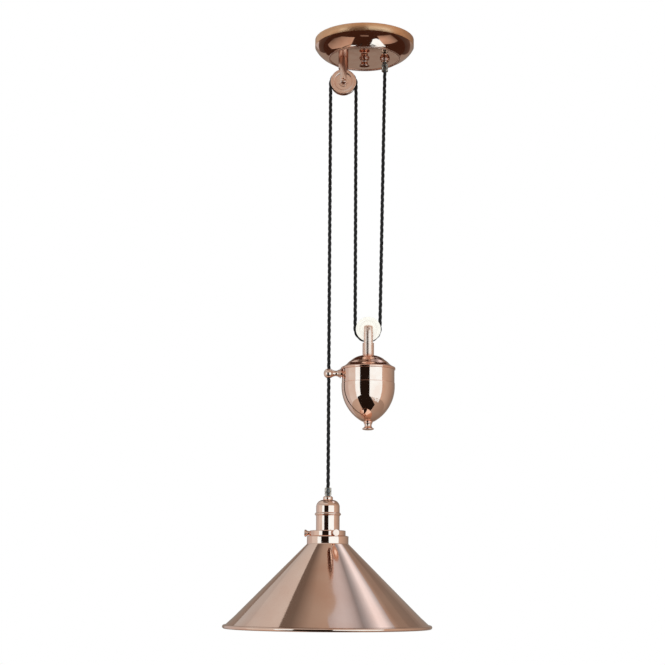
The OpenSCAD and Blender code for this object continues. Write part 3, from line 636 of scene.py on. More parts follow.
def knob_profile(base_d: float, waist_d: float, flange_d: float, h: float) -> list[Point]:
    """Profile of a turned knob that hangs from z = 0.

    Args:
        base_d: diameter of the upper flange.
        waist_d: diameter of the waist.
        flange_d: diameter of the lower flange.
        h: height.

    Returns:
        The profile from the axis at the top to the axis at the bottom.
    """
    edge = 0.08 * h
    base_h, waist_z, flange_z = 0.17 * h, -0.46 * h, -0.76 * h
    return [
        (0, 0), *bow((base_d / 2 - 0.3, 0), (base_d / 2 - edge, -base_h), edge * 0.55, 10),
        (waist_d / 2 + edge, -base_h - 0.12 * edge),
        *bow((waist_d / 2 + edge, -base_h - edge), (waist_d / 2, waist_z), -edge / 4, 8),
        *bow((waist_d / 2, waist_z - 0.05), (flange_d / 2 - edge, flange_z), -edge * 0.7, 12)[:-1],
        *bow((flange_d / 2 - edge, flange_z), (flange_d / 2, flange_z - edge), edge * 0.2, 5)[:-1],
        *bow((flange_d / 2, flange_z - edge), (flange_d / 2 - edge, -0.94 * h), edge / 3, 8)[:-1],
        *bow((flange_d / 2 - edge, -0.94 * h), (0, -h), edge * 0.4, 8)[:-1], (0, -h),
    ]


@dataclass
class Axes:
    """Where the object's axes and levels are, in millimetres."""

    lamp_x: float = -54.5
    pulley_x: float = -34.0
    middle_x: float = -13.5
    boss_x: float = 33.0
    weight_x: float = 7.1698
    upper_axle_z: float = -71.4
    upper_loop_z: float = -73.9
    upper_loop_r: float = 20.5
    weight_axle_z: float = -476.4
    weight_loop_x: float = 6.0
    weight_loop_z: float = -474.9028
    weight_loop_r: float = 19.5
    canopy_grip_top: float = -41.4
    canopy_grip_end: float = -53.4
    lamp_grip_z: float = -724.7
    grip_l: float = 12.0
    ferrule_z: float = -738.0
    cap_z: float = -743.7
    skirt_z: float = -765.6
    gallery_z: float = -790.6
    gallery_end: float = -798.6


@dataclass
class Canopy:
    """The dished ceiling canopy with its knob, boss and clear grip."""

    axes: Axes
    bench: Bench
    rim_r: float = 80.0
    rim_h: float = 13.0
    depth: float = 31.0
    disk_r: float = 55.0
    bead_r: float = 1.6
    sheet: float = 1.2
    knob_d: float = 17.8
    knob_h: float = 15.0

    def build(self) -> None:
        """Make and dress the canopy's pieces."""
        self.dish()
        self.knob()
        self.boss()
        self.grip()
        self.fixings()

    def profile(self) -> list[Point]:
        """Closed profile of the spun sheet."""
        r, z, t = self.rim_r, -self.depth, self.sheet
        foot = self.disk_r + 2 * self.bead_r * 0.85
        bead_x, bead_z = self.disk_r + self.bead_r, z
        crest = [
            (bead_x + self.bead_r * math.cos(a), bead_z + self.bead_r * math.sin(a))
            for a in (math.radians(v) for v in range(-8, -173, -12))
        ]
        outer = [
            (r - t, 0), (r - 0.4, 0), (r, -0.4), (r, -self.rim_h + 0.5), (r - 0.35, -self.rim_h),
            *bow((r - 0.35, -self.rim_h), (foot, z), 2.9, 28)[1:-1], *crest, (self.disk_r - 0.1, z), (0, z),
        ]
        inner = [(0, z + t), (foot - 0.6, z + t), *bow((foot, z + t), (r - t, -self.rim_h), -2.9, 20)[1:]]
        return outer + inner

    def dish(self) -> None:
        """Spin the canopy: a satin rim band over a buffed dish and a mirror disk; the rim band's deeper,
        golden copper is painted shade and reflection.
        """
        piece = finish_mesh(turned(self.profile(), 192), "canopy_dish")
        self.bench.dress(
            piece, BuffedCopper("buffed copper, canopy"),
            # the rim band's deeper, golden copper colour is painted shade and reflection for the dim light the
            # band catches; only its satin roughness is its own finish
            BuffedCopper("satin copper rim", colour="#F6B98C", deep="#EDAB7D", roughness=0.3, haze=0.06),
            BuffedCopper("satin copper bead", roughness=0.34, haze=0.06),
        )
        for face in piece.data.polygons:
            height = face.center.z / MM
            out = math.hypot(face.center.x, face.center.y) / MM
            # faces of the rim band take the copper with painted shade
            if out > self.rim_r - 0.6 and height > -self.rim_h + 0.2:
                face.material_index = 1
            elif height < -self.depth - 0.05 and out > self.disk_r - 0.4:
                face.material_index = 2
        self.bench.place(piece, Body.CEILING, Slot.COPPER, ["canopy"])

    def knob(self) -> None:
        """Turn the centre knob."""
        points = knob_profile(self.knob_d - 1, 10.8, self.knob_d, self.knob_h)
        piece = finish_mesh(stand(turned(points, 96), (0, 0, -self.depth)), "centre_knob")
        self.bench.dress(piece, BuffedCopper("buffed copper, knob"))
        self.bench.place(piece, Body.CEILING, Slot.COPPER, ["canopy_knob"])

    def boss(self) -> None:
        """Turn the cord boss with its stepped nose."""
        points = [
            (2.8, 10.0), (5.0, 10.0), (5.0, 0), (7.8, 0), (8.1, -0.3), (8.1, -2.1), (7.9, -2.4),
            (7.3, -2.5), *bow((7.2, -2.9), (5.6, -6.4), 0.5, 8), (5.3, -6.6), (2.8, -6.6),
        ]
        place = (self.axes.boss_x, 0, -self.depth)
        piece = finish_mesh(stand(turned(points, 80), place), "cord_boss_turned")
        self.bench.dress(piece, BuffedCopper("buffed copper, boss", place))
        self.bench.place(piece, Body.CEILING, Slot.COPPER, ["cord_boss"])

    def grip(self) -> None:
        """Mould the clear grip under the boss."""
        place = (self.axes.boss_x, 0, self.axes.canopy_grip_top)
        make_grip(self.bench, "canopy_grip", place, Body.CEILING, up=True)

    def fixings(self) -> None:
        """Dress the strap, the bar, the nuts and the terminal block inside the canopy."""
        for name in (
            "ceiling_strap", "load_bar", "canopy_stud", "stud_nut", "fork_nut", "boss_nut", "block_screws"
        ):
            self.bench.node(name, ZINC)
        self.bench.node("terminal_block", Moulded("moulded melamine", "#E9E7DF", "#DEDBD1", 0.4))
        self.bench.node("terminal_tubes", BRASS)
        self.bench.node("terminal_screws", BRASS)


def make_grip(bench: Bench, name: str, at: Place, body: Body, up: bool) -> None:
    """Mould a clear cord grip and dress its screw.

    Args:
        bench: where pieces are made.
        name: node that the grip stands for.
        at: where its body meets its neck.
        body: body that it rides on.
        up: whether the neck points up.
    """
    length, r, bore, neck = 12.0, 5.2, 2.8, 4.0
    points = [
        (bore, 10.0), (neck - 0.3, 10.0), (neck, 9.7), (neck, 0.4), (neck - 0.25, 0.2), (neck, 0),
        (r - 0.3, 0), (r, -0.3), (r, -length * 0.30), (r - 0.25, -length * 0.33),
        (r - 0.25, -length * 0.40), (r, -length * 0.43), (r, 1.4 - length),
        *bow((r, 1.4 - length), (r - 1.4, -length), 0.45, 5)[1:], (bore, -length),
    ]
    bm = turned(points, 64)
    if not up:
        bmesh.ops.rotate(bm, cent=(0, 0, 0), matrix=Matrix.Rotation(math.pi, 3, "X"), verts=bm.verts)
    piece = finish_mesh(stand(bm, at), name + "_moulded")
    bench.dress(piece, ClearNylon())
    bench.place(piece, body, Slot.CLEAR, [name])
    bench.node(name + "_screw", ClearNylon())


@dataclass
class Pulleys:
    """Both forks with their axles and both grooved wheels with their bushes."""

    axes: Axes
    bench: Bench
    upper_fork_d: float = 16.0
    weight_fork_d: float = 18.0
    slot_w: float = 12.0
    tip: float = 5.4
    edge: float = 2.2
    axle_d: float = 5.0
    head_y: float = 7.2

    def build(self) -> None:
        """Make and dress the forks, axles and wheels."""
        a = self.axes
        self.fork("upper_fork", (a.pulley_x, 0, -31.0), self.upper_fork_d, 40.4, 17.6, Body.CEILING)
        self.fork("weight_fork", (a.weight_x, 0, -518.0), self.weight_fork_d, 41.6, 20.0, Body.COUNTERWEIGHT)
        self.axle_screw()
        self.weight_pin()
        copper = BuffedCopper(
            "buffed copper, wheel", (a.pulley_x, 0, a.upper_axle_z), Facing.FRONT, roughness=0.2, ring_mm=1.6,
            ring_depth_mm=0.0006,
        )
        upper, lower = (a.pulley_x, 0, a.upper_axle_z), (a.weight_x, 0, a.weight_axle_z)
        self.wheel("upper_wheel", upper, 20.8, 5.6, copper, Slot.COPPER, Body.UPPER_PULLEY)
        self.wheel("weight_wheel", lower, 19.6, 4.8, NYLON, Slot.NYLON, Body.WEIGHT_PULLEY)
        self.bench.node("upper_bush", BRASS)
        self.bench.node("weight_bush", BRASS)

    def fork(self, name: str, at: Place, d: float, axle_at: float, slot_from: float, body: Body) -> None:
        """Turn a fork from round bar and cut its slot and its axle hole. The one on the
        ceiling hangs from its foot, and the counterweight's stands on it.

        Args:
            name: node that it stands for.
            at: centre of its foot.
            d: diameter of the bar.
            axle_at: height of the axle over the foot.
            slot_from: height of the slot's root over the foot.
            body: body that it rides on.
        """
        down = body is Body.CEILING
        r, l = d / 2, axle_at + self.tip
        points = [
            (0, 0), (r - 0.2, 0), (r, 0.3),
            *bow((r, l - self.edge), (r - self.edge, l), -self.edge * 0.3, 8), (0, l),
        ]
        piece = finish_mesh(turned(points, 96), name + "_turned")
        slot = block((-d, -self.slot_w / 2, slot_from), (d, self.slot_w / 2, l + 5))
        hole = stand(bar(self.axle_d, -d, d, 48), (0, 0, axle_at), Facing.FRONT)
        cutters = [slot, hole]
        if down:
            cutters.append(stand(bar(9.2, self.head_y, d, 48), (0, 0, axle_at), Facing.FRONT))
        carve(piece, cutters)
        mirror = Matrix.Scale(-1, 4, (0, 0, 1)) if down else Matrix.Identity(4)
        piece.data.transform(Matrix.Translation(Vector(at) * MM) @ mirror)
        if down:
            piece.data.flip_normals()
        soften(piece, 0.35)
        self.bench.dress(piece, BuffedCopper("satin copper, " + name.replace("_", " "), at, roughness=0.3))
        self.bench.place(piece, body, Slot.COPPER, [name])

    def axle_screw(self) -> None:
        """Turn the slotted axle screw of the upper fork."""
        head = self.head_y
        points = [
            (0, -7.5), (2.2, -7.5), (2.5, -7.2), (2.5, head), (4.3, head), (4.5, head + 0.2),
            *bow((4.5, head + 0.9), (0.4, head + 2.2), -0.5, 8), (0, head + 2.2),
        ]
        at = (self.axes.pulley_x, 0, self.axes.upper_axle_z)
        piece = finish_mesh(turned(points, 64), "upper_axle_screw")
        carve(piece, [block((-9, -0.55, head + 1.1), (9, 0.55, head + 4))])
        piece.data.transform(Matrix.Translation(Vector(at) * MM) @ Facing.FRONT.matrix)
        soften(piece, 0.12)
        self.bench.dress(piece, BuffedCopper("buffed copper, screw", at, Facing.FRONT))
        self.bench.place(piece, Body.CEILING, Slot.COPPER, ["upper_axle"])

    def weight_pin(self) -> None:
        """Turn the flush pin of the counterweight's fork, with its chamfers."""
        points = [(0, -8.55), (2.2, -8.55), (2.5, -8.3), (2.5, 8.3), (2.2, 8.55), (0, 8.55)]
        at = (self.axes.weight_x, 0, self.axes.weight_axle_z)
        piece = finish_mesh(stand(turned(points, 48), at, Facing.FRONT), "weight_axle_pin")
        self.bench.dress(piece, BuffedCopper("satin copper, pin", at, Facing.FRONT, roughness=0.3))
        self.bench.place(piece, Body.COUNTERWEIGHT, Slot.COPPER, ["weight_axle"])

    def wheel(
        self, name: str, at: Place, r: float, groove: float, finish: Finish, slot: Slot, body: Body
    ) -> None:
        """Turn a grooved wheel with the rings of its face.

        Args:
            name: node that it stands for.
            at: middle of the axle.
            r: radius of its flanges.
            groove: depth of its groove.
            finish: its finish.
            slot: its slot in the record.
            body: body that it rides on.
        """
        half, hub_half, groove_half, lip = 5.0, 5.7, 2.8, 0.7
        root = r - groove
        dish_r, bore = root - 1.2, 4.07
        side = [
            (7.7, hub_half), (8.0, hub_half - 0.3), (8.0, half - 0.9),
            *bow((8.6, half - 0.95), (dish_r - 0.5, half - 0.95), -0.12, 6), (dish_r, half - 0.1),
            (dish_r + 0.2, half), (r - 2.6, half), (r - 2.4, half - 0.25), (r - 2.1, half - 0.25),
            (r - 1.9, half), *bow((r - lip, half), (r - lip, half - 2 * lip), lip, 10),
            *bow((root + groove_half, groove_half), (root, 0), -0.29 * groove_half, 10),
        ]
        points = [(bore, hub_half), *side, *((x, -y) for x, y in reversed(side[:-1])), (bore, -hub_half)]
        piece = finish_mesh(stand(turned(points, 128), at, Facing.FRONT), name + "_turned")
        self.bench.dress(piece, finish)
        self.bench.place(piece, body, slot, [name])


@dataclass
class Counterweight:
    """Lid, band, pointed bowl, finial and guide arm."""

    axes: Axes
    bench: Bench
    lid_z: float = -518.0
    lip_z: float = -536.6
    lip_end: float = -540.9
    seam_z: float = -561.6
    wall: float = 1.35
    lip_r: float = 42.6
    band_r: float = 41.2
    bowl_r: float = 41.7
    bowl_straight: float = 5.0
    bowl_tip_r: float = 9.4
    ogive_r: float = 63.0
    bowl_end: float = -621.54
    guide_z: float = -546.4

    def build(self) -> None:
        """Make and dress the counterweight's pieces."""
        self.lid()
        self.band()
        self.bowl()
        self.finial()
        self.arm()
        self.inside()

    @property
    def middle(self) -> Place:
        """The counterweight's axis."""
        return (self.axes.weight_x, 0, 0)

    def add(
        self, name: str, points: Sequence[Point], replaces: str, steps: int = 160, finish: Finish | None = None
    ) -> Object:
        """Turn one copper piece about the counterweight's axis."""
        piece = finish_mesh(stand(turned(points, steps), self.middle), name)
        self.bench.dress(piece, finish or BuffedCopper("buffed copper, counterweight", self.middle))
        return self.bench.place(piece, Body.COUNTERWEIGHT, Slot.COPPER, [replaces])

    def lid_line(self, t: float) -> list[Point]:
        """The lid's outline from the fork to the lip, drawn in by t."""
        edge_r, edge_z = 33.0 - t / 2, self.lid_z - 13.0 - t / 2
        crown_r, crown_z = edge_r - 6.0, self.lid_z - 7.8 - t
        lip_r = self.lip_r - t
        return [
            *bow((9.0, self.lid_z - t), (crown_r, crown_z), 1.7, 16),
            *bow((crown_r, crown_z), (edge_r, edge_z), 0.4, 8)[1:],
            *bow((edge_r, edge_z), (lip_r - 1.4, self.lip_z - t / 2), -0.4, 8)[1:],
            *bow((lip_r - 1.4, self.lip_z - t / 2), (lip_r, self.lip_z - 1.4), 0.42, 6)[1:],
        ]

    def lid(self) -> None:
        """Spin the lid with its rolled lip; its copper is painted a little darker, as shade for the dim
        reflections over it.
        """
        lip_r = self.lip_r
        outer = [(4.1, self.lid_z), *self.lid_line(0)]
        lip = [
            *bow((lip_r, self.lip_end + 1.2), (lip_r - self.wall, self.lip_end), 0.4, 5),
            (lip_r - self.wall, self.lip_end + 1),
        ]
        inner = [*reversed(self.lid_line(self.wall)), (4.1, self.lid_z - self.wall)]
        # the lid's darker copper colour is painted shade for the dim reflections above it; its softer
        # roughness is its own
        name, colour, deep = "buffed copper, lid, painted shade", "#F3BFA6", "#EBB096"
        satin_shaded_lid = BuffedCopper(name, self.middle, colour=colour, deep=deep, roughness=0.13)
        self.add("weight_lid_spun", outer + lip + inner, "weight_lid", finish=satin_shaded_lid)

    def band(self) -> None:
        """Spin the straight band between the lip and the seam."""
        r, top = self.band_r, self.lip_z - 2
        points = [
            (r - 1.5, top), (r - 0.2, top), (r, top - 0.2), (r, self.seam_z + 0.25),
            (r - 0.25, self.seam_z), (r - 1.5, self.seam_z),
        ]
        self.add("weight_band_spun", points, "weight_band")

    def ogive(self, wall: float, steps: int) -> list[Point]:
        """The bowl's pointed arc from its straight part down, drawn in by the wall."""
        x, z, r = self.bowl_r - self.ogive_r, self.seam_z - self.bowl_straight, self.ogive_r - wall
        sweep = math.acos((self.bowl_tip_r - x) / r)
        turns = (sweep * i / steps for i in range(steps + 1))
        return [(x + r * math.cos(a), z - r * math.sin(a)) for a in turns]

    def bowl(self) -> None:
        """Spin the pointed bowl, a little wider than the band at the seam."""
        r = self.bowl_r
        curve, inner = self.ogive(0.0, 40), self.ogive(1.5, 24)[::-1]
        points = [
            (r - 1.5, self.seam_z), (r - 0.35, self.seam_z), (r, self.seam_z - 0.35), *curve,
            (4.2, curve[-1][1]), (4.2, inner[0][1]), *inner,
        ]
        self.add("weight_bowl_spun", points, "weight_bowl")

    def finial(self) -> None:
        """Turn the finial."""
        points = [(r, z + self.bowl_end) for r, z in knob_profile(14.8, 11.0, 18.2, 13.7)]
        self.add("weight_finial_turned", points, "weight_finial", 96)

    def arm(self) -> None:
        """Turn the guide arm with its ball, bore its eye and set its bush."""
        ball_r, waist_r, seat_r, flange_r = 8.0, 4.2, 5.3, 7.7
        length = self.axes.weight_x - self.band_r - self.axes.lamp_x
        flange, ring = 1.7, 5.1
        end = length - ball_r - 2.4
        join = math.radians(-43)
        ball = [
            (ball_r * math.cos(a), length + ball_r * math.sin(a))
            for a in (join + (math.pi / 2 - join) * i / 24 for i in range(25))
        ]
        points = [
            (0, -1.0), (seat_r, -1.0), (seat_r, flange - 0.1), (flange_r - 0.5, flange),
            *bow((flange_r - 0.4, flange), (flange_r - 0.4, flange + 1.6), -0.4, 6),
            *bow((flange_r - 0.7, flange + 1.65), (waist_r + 1.7, ring - 0.6), 0.35, 6),
            *bow((waist_r + 1.5, ring - 0.5), (waist_r + 1.5, ring + 0.5), -0.35, 6),
            *bow((waist_r + 1.2, ring + 0.55), (waist_r, end), 0.35, 8),
            *bow((waist_r, end), ball[0], 0.25, 6)[1:-1], *ball[:-1], (0, length + ball_r),
        ]
        at = (self.axes.weight_x - self.band_r, 0, self.guide_z)
        piece = finish_mesh(stand(turned(points, 96), at, Facing.LEFT), "guide_arm_turned")
        eye = stand(bar(8.04, -20, 20, 64), (self.axes.lamp_x, 0, self.guide_z))
        carve(piece, [eye])
        soften(piece, 0.25)
        self.bench.dress(piece, BuffedCopper("buffed copper, guide arm", at, Facing.LEFT))
        self.bench.place(piece, Body.COUNTERWEIGHT, Slot.COPPER, ["guide_arm"])
        half = 6.7
        ring_points = [
            (3.1, -half + 0.7), *bow((3.1, -half + 0.7), (3.8, -half), 0.2, 4)[1:], (4.0, -half),
            (4.0, half), (3.8, half), *bow((3.8, half), (3.1, half - 0.7), 0.2, 4)[1:],
        ]
        eye_at = (self.axes.lamp_x, 0, self.guide_z)
        bush = finish_mesh(stand(turned(ring_points, 64), eye_at), "eye_bush_moulded")
        self.bench.dress(bush, NYLON)
        self.bench.place(bush, Body.COUNTERWEIGHT, Slot.NYLON, ["eye_bush"])

    def inside(self) -> None:
        """Dress the filling, the tie rod and the guide arm's nut."""
        iron = PlainMetal("grey cast iron", "#5A5856", "#474341", 0.62, 1.2, 7.0, 0.06)
        self.bench.node("weight_filling", iron)
        self.bench.node("tie_rod", ZINC)
        self.bench.node("guide_nut", ZINC)


@dataclass
class Lampholder:
    """Grip, ferrule, cap, union ring, skirt and what they hold."""

    axes: Axes
    bench: Bench
    r: float = 18.2
    sheet: float = 1.0
    thread_pitch: float = 3.6

    def build(self) -> None:
        """Make and dress the lampholder."""
        a = self.axes
        make_grip(self.bench, "lamp_grip", (a.lamp_x, 0, a.lamp_grip_z - a.grip_l), Body.LAMP, up=False)
        self.ferrule()
        self.cap()
        self.union()
        self.skirt()
        self.barrel()
        self.shell()
        self.fixings()

    @property
    def middle(self) -> Place:
        """The lampholder's axis."""
        return (self.axes.lamp_x, 0, 0)

    def add(self, name: str, points: Sequence[Point], replaces: str, steps: int = 128) -> Object:
        """Turn one copper piece about the lampholder's axis."""
        piece = finish_mesh(stand(turned(points, steps), self.middle), name)
        self.bench.dress(piece, BuffedCopper("buffed copper, lampholder", self.middle))
        return self.bench.place(piece, Body.LAMP, Slot.COPPER, [replaces])

    def ferrule(self) -> None:
        """Turn the ferrule on top of the cap, with its tube inside."""
        z = self.axes.cap_z
        points = [
            (2.8, z - 7), (5.0, z - 7), (5.0, z), (7.4, z), (7.6, z + 0.3), (7.6, z + 3.6),
            *bow((7.6, z + 3.8), (5.8, z + 5.7), -0.25, 6), (2.8, z + 5.7),
        ]
        self.add("ferrule_turned", points, "lamp_ferrule", 80)

    def cap(self) -> None:
        """Spin the domed cap down to the union ring."""
        z, t, end = self.axes.cap_z, self.sheet, self.axes.skirt_z + 0.5
        outer = [(5.1, z), *bow((8.2, z), (self.r, z - 11.0), 3.0, 20), (self.r, end)]
        inner = [
            (self.r - t, end), *reversed(bow((7.7, z - t), (self.r - t, z - 11.0), 3.0, 14)), (5.1, z - t),
        ]
        self.add("holder_cap_spun", outer + inner, "holder_cap")

    def union(self) -> None:
        """Roll the union ring: a bead between two fine quirks."""
        z, r = self.axes.skirt_z, self.r
        points = [
            (r + 0.05, z - 2.5), (r + 0.5, z - 2.5), (r + 0.6, z - 2.1),
            *bow((r + 0.7, z - 1.9), (r + 0.7, z + 1.9), -1.3, 14), (r + 0.6, z + 2.1), (r + 0.5, z + 2.5),
            (r + 0.05, z + 2.5),
        ]
        self.add("union_ring_rolled", points, "union_ring")

    def skirt(self) -> None:
        """Spin the straight skirt with a turned-in lower edge."""
        top, end, r, t = self.axes.skirt_z - 0.5, self.axes.gallery_z, self.r, self.sheet
        points = [(r - t, top), (r, top), (r, end + 0.3), (r - 0.3, end), (r - t, end)]
        self.add("holder_skirt_spun", points, "holder_skirt")

    def barrel(self) -> None:
        """Cast the porcelain body with its flange and rounded mouth."""
        r, bore, end, top, floor, flange = 16.9, 13.82, -797.6, -757.2, -771.1, self.axes.skirt_z
        points = [
            (0, floor), (bore - 0.6, floor), (bore, floor - 0.6),
            *bow((bore, end + 1.0), (bore + 1.0, end), -0.3, 5),
            *bow((r - 0.8, end), (r, end + 0.8), -0.24, 5), (r, flange - 0.5), (self.r, flange - 0.5),
            (self.r, flange + 0.5), (r, flange + 0.5), *bow((r, top - 1.0), (r - 1.0, top), -0.3, 5),
            (0, top),
        ]
        piece = finish_mesh(stand(turned(points, 96), self.middle), "socket_barrel_cast")
        look = {"coat": 0.4, "texture_mm": 3.0, "depth_mm": 0.02}
        self.bench.dress(piece, Moulded("glazed porcelain", "#F2EFE7", "#E9E5DA", 0.16, **look))
        self.bench.place(piece, Body.LAMP, Slot.PORCELAIN, ["socket_barrel"])

    def shell(self) -> None:
        """Roll the screw shell with its knuckle thread."""
        outer, depth, top, end = 13.5, 0.95, -772.6, -794.6
        turns = int((top - end - 1.5) / self.thread_pitch)
        bm = bmesh.new()
        count = 8
        shares = [i / count for i in range(count + 1)]
        dips = [depth * (0.5 - 0.5 * math.cos(TURN * share)) for share in shares]
        wire = [bm.verts.new((outer - dip, 0, self.thread_pitch * v)) for dip, v in zip(dips, shares)]
        edges = [bm.edges.new(pair) for pair in zip(wire, wire[1:])]
        steps = 48 * turns
        bmesh.ops.spin(
            bm, geom=wire + edges, cent=(0, 0, 0), axis=(0, 0, 1),
            dvec=(0, 0, self.thread_pitch * turns / steps), angle=TURN * turns, steps=steps,
        )
        bmesh.ops.remove_doubles(bm, verts=bm.verts, dist=1e-3)
        bmesh.ops.recalc_face_normals(bm, faces=bm.faces)
        place = (self.axes.lamp_x, 0, end + 0.6)
        piece = finish_mesh(stand(bm, place), "screw_shell_rolled")
        wall = piece.modifiers.new("sheet", "SOLIDIFY")
        wall.thickness = 0.28 * MM
        wall.offset = 0.0
        self.bench.dress(piece, BRASS)
        self.bench.place(piece, Body.LAMP, Slot.BRASS, ["screw_shell"])

    def fixings(self) -> None:
        """Dress the contact, the posts and the nut inside the cap."""
        self.bench.node("centre_contact", BRASS)
        self.bench.node("socket_terminals", BRASS)
        self.bench.node("ferrule_nut", ZINC)


@dataclass
class Shade:
    """The conical shade, its gallery, the retaining ring and the thumb screws."""

    axes: Axes
    bench: Bench
    neck_r: float = 32.0
    neck_h: float = 12.5
    mouth_r: float = 157.0
    bead_r: float = 3.0
    collar_r: float = 22.5
    sheet: float = 0.85
    first_screw: float = 21.0

    def build(self) -> None:
        """Make and dress the shade and what holds it."""
        self.cone()
        self.gallery()
        self.retaining_ring()
        for i, body in enumerate((Body.THUMB_1, Body.THUMB_2, Body.THUMB_3)):
            self.thumb_screw(i, body)

    @property
    def middle(self) -> Place:
        """The shade's axis."""
        return (self.axes.lamp_x, 0, 0)

    def cone(self) -> None:
        """Spin the shade: collar, shoulder, neck, cone and rolled rim."""
        top, t = self.axes.gallery_end, self.sheet
        neck_end = top - self.neck_h
        mouth_z = neck_end - (self.mouth_r - self.neck_r)
        side = t * math.sqrt(2)
        b = self.bead_r
        slope = self.mouth_r - b - self.neck_r - 0.4
        # the rim is rolled outwards, so its bead starts on the cone's outer face
        roll = [
            (self.mouth_r + b * math.cos(a), mouth_z + b * math.sin(a))
            for a in (math.radians(v) for v in range(118, -172, -10))
        ]
        points = [
            (self.collar_r - t, top + 6.2), (self.collar_r, top + 6.2), (self.collar_r, top + 0.4),
            (self.collar_r + 0.4, top), (self.neck_r - 2.5, top), (self.neck_r + 0.1, top - 1.1),
            (self.neck_r + 0.3, top - 1.5), (self.neck_r + 0.1, top - 2.0), (self.neck_r, top - 2.6),
            (self.neck_r, neck_end + 0.8),
            *bow((self.neck_r, neck_end + 0.8), (self.neck_r + 0.7, neck_end - 0.7), -0.12, 4)[1:],
            *((self.neck_r + 0.7 + slope * s, neck_end - 0.7 - slope * s) for s in (0.1, 0.3, 0.5, 0.7, 0.9)),
            *roll, (self.mouth_r - side - 2.0, mouth_z + 2.6), (self.neck_r - t + 0.2, neck_end - 0.5),
            (self.neck_r - t, neck_end), (self.neck_r - t, top - 2.4), (self.neck_r - 2.7, top - t),
            (self.collar_r - t, top - t),
        ]
        piece = finish_mesh(stand(turned(points, 224), self.middle), "shade_spun")
        self.bench.dress(
            piece,
            BuffedCopper(
                "buffed copper, shade", self.middle, roughness=0.06, haze=0.04, ring_mm=2.4,
                ring_depth_mm=0.0004, cloud_mm=60.0, dent_mm=0.1,
            ),
        )
        self.bench.place(piece, Body.LAMP, Slot.COPPER, ["shade"])

    def gallery(self) -> None:
        """Press the gallery with its rounded shoulder."""
        z, end, r, t, bore = self.axes.gallery_z, self.axes.gallery_end, 27.5, 1.4, 17.0
        points = [
            (bore, z), *bow((r - 1.2, z), (r, z - 1.2), 0.35, 8), (r, end + 0.3), (r - 0.3, end),
            (r - t, end), (r - t, z - t), (bore, z - t),
        ]
        piece = finish_mesh(stand(turned(points, 128), self.middle), "gallery_pressed")
        self.bench.dress(piece, BuffedCopper("buffed copper, lampholder", self.middle))
        self.bench.place(piece, Body.LAMP, Slot.COPPER, ["shade_gallery"])

    def retaining_ring(self) -> None:
        """Turn the ring that clamps the gallery, with its lower edges chamfered."""
        top, r, bore, h = self.axes.gallery_z - 1.4, 20.9, 17.0, 4.4
        points = [
            (bore, top), (r, top), (r, top - h + 0.4), (r - 0.4, top - h), (bore + 0.4, top - h),
            (bore, top - h + 0.4),
        ]
        piece = finish_mesh(stand(turned(points, 96), self.middle), "retaining_ring_turned")
        self.bench.dress(piece, BuffedCopper("buffed copper, lampholder", self.middle))
        self.bench.place(piece, Body.LAMP, Slot.COPPER, ["retaining_ring"])

    def thumb_screw(self, index: int, body: Body) -> None:
        """Turn one thumb screw: shank, collar and a thin dished head.

        Args:
            index: which of the three screws.
            body: body that it rides on.
        """
        tip, head = 22.8, 33.5
        points = [
            (0, tip), (1.7, tip), (2.0, tip + 0.3), (2.0, 27.8), (3.2, 27.8), (3.4, 28.0),
            *bow((3.4, 31.0), (4.2, head), -0.3, 6), (5.0, head),
            *bow((5.0, head), (5.4, head + 0.5), -0.1, 3)[1:],
            *bow((5.4, head + 2.1), (4.9, head + 2.6), -0.1, 3),
            *bow((4.2, head + 2.6), (0.4, head + 2.2), 0.08, 5), (0, head + 2.2),
        ]
        angle = math.radians(self.first_screw + 120 * index - 90)
        level = (self.axes.gallery_z + self.axes.gallery_end) / 2
        bm = turned(points, 64)
        turn = Matrix.Rotation(angle, 4, "Z") @ Matrix.Rotation(math.radians(90), 4, "Y")
        place = Matrix.Translation((self.axes.lamp_x, 0, level)) @ turn
        bmesh.ops.transform(bm, matrix=place, verts=bm.verts)
        piece = finish_mesh(bm, f"thumb_screw_{index + 1}_turned")
        self.bench.dress(piece, BuffedCopper("buffed copper, lampholder", self.middle))
        self.bench.place(piece, body, Slot.COPPER, [f"thumb_screw_{index + 1}"])


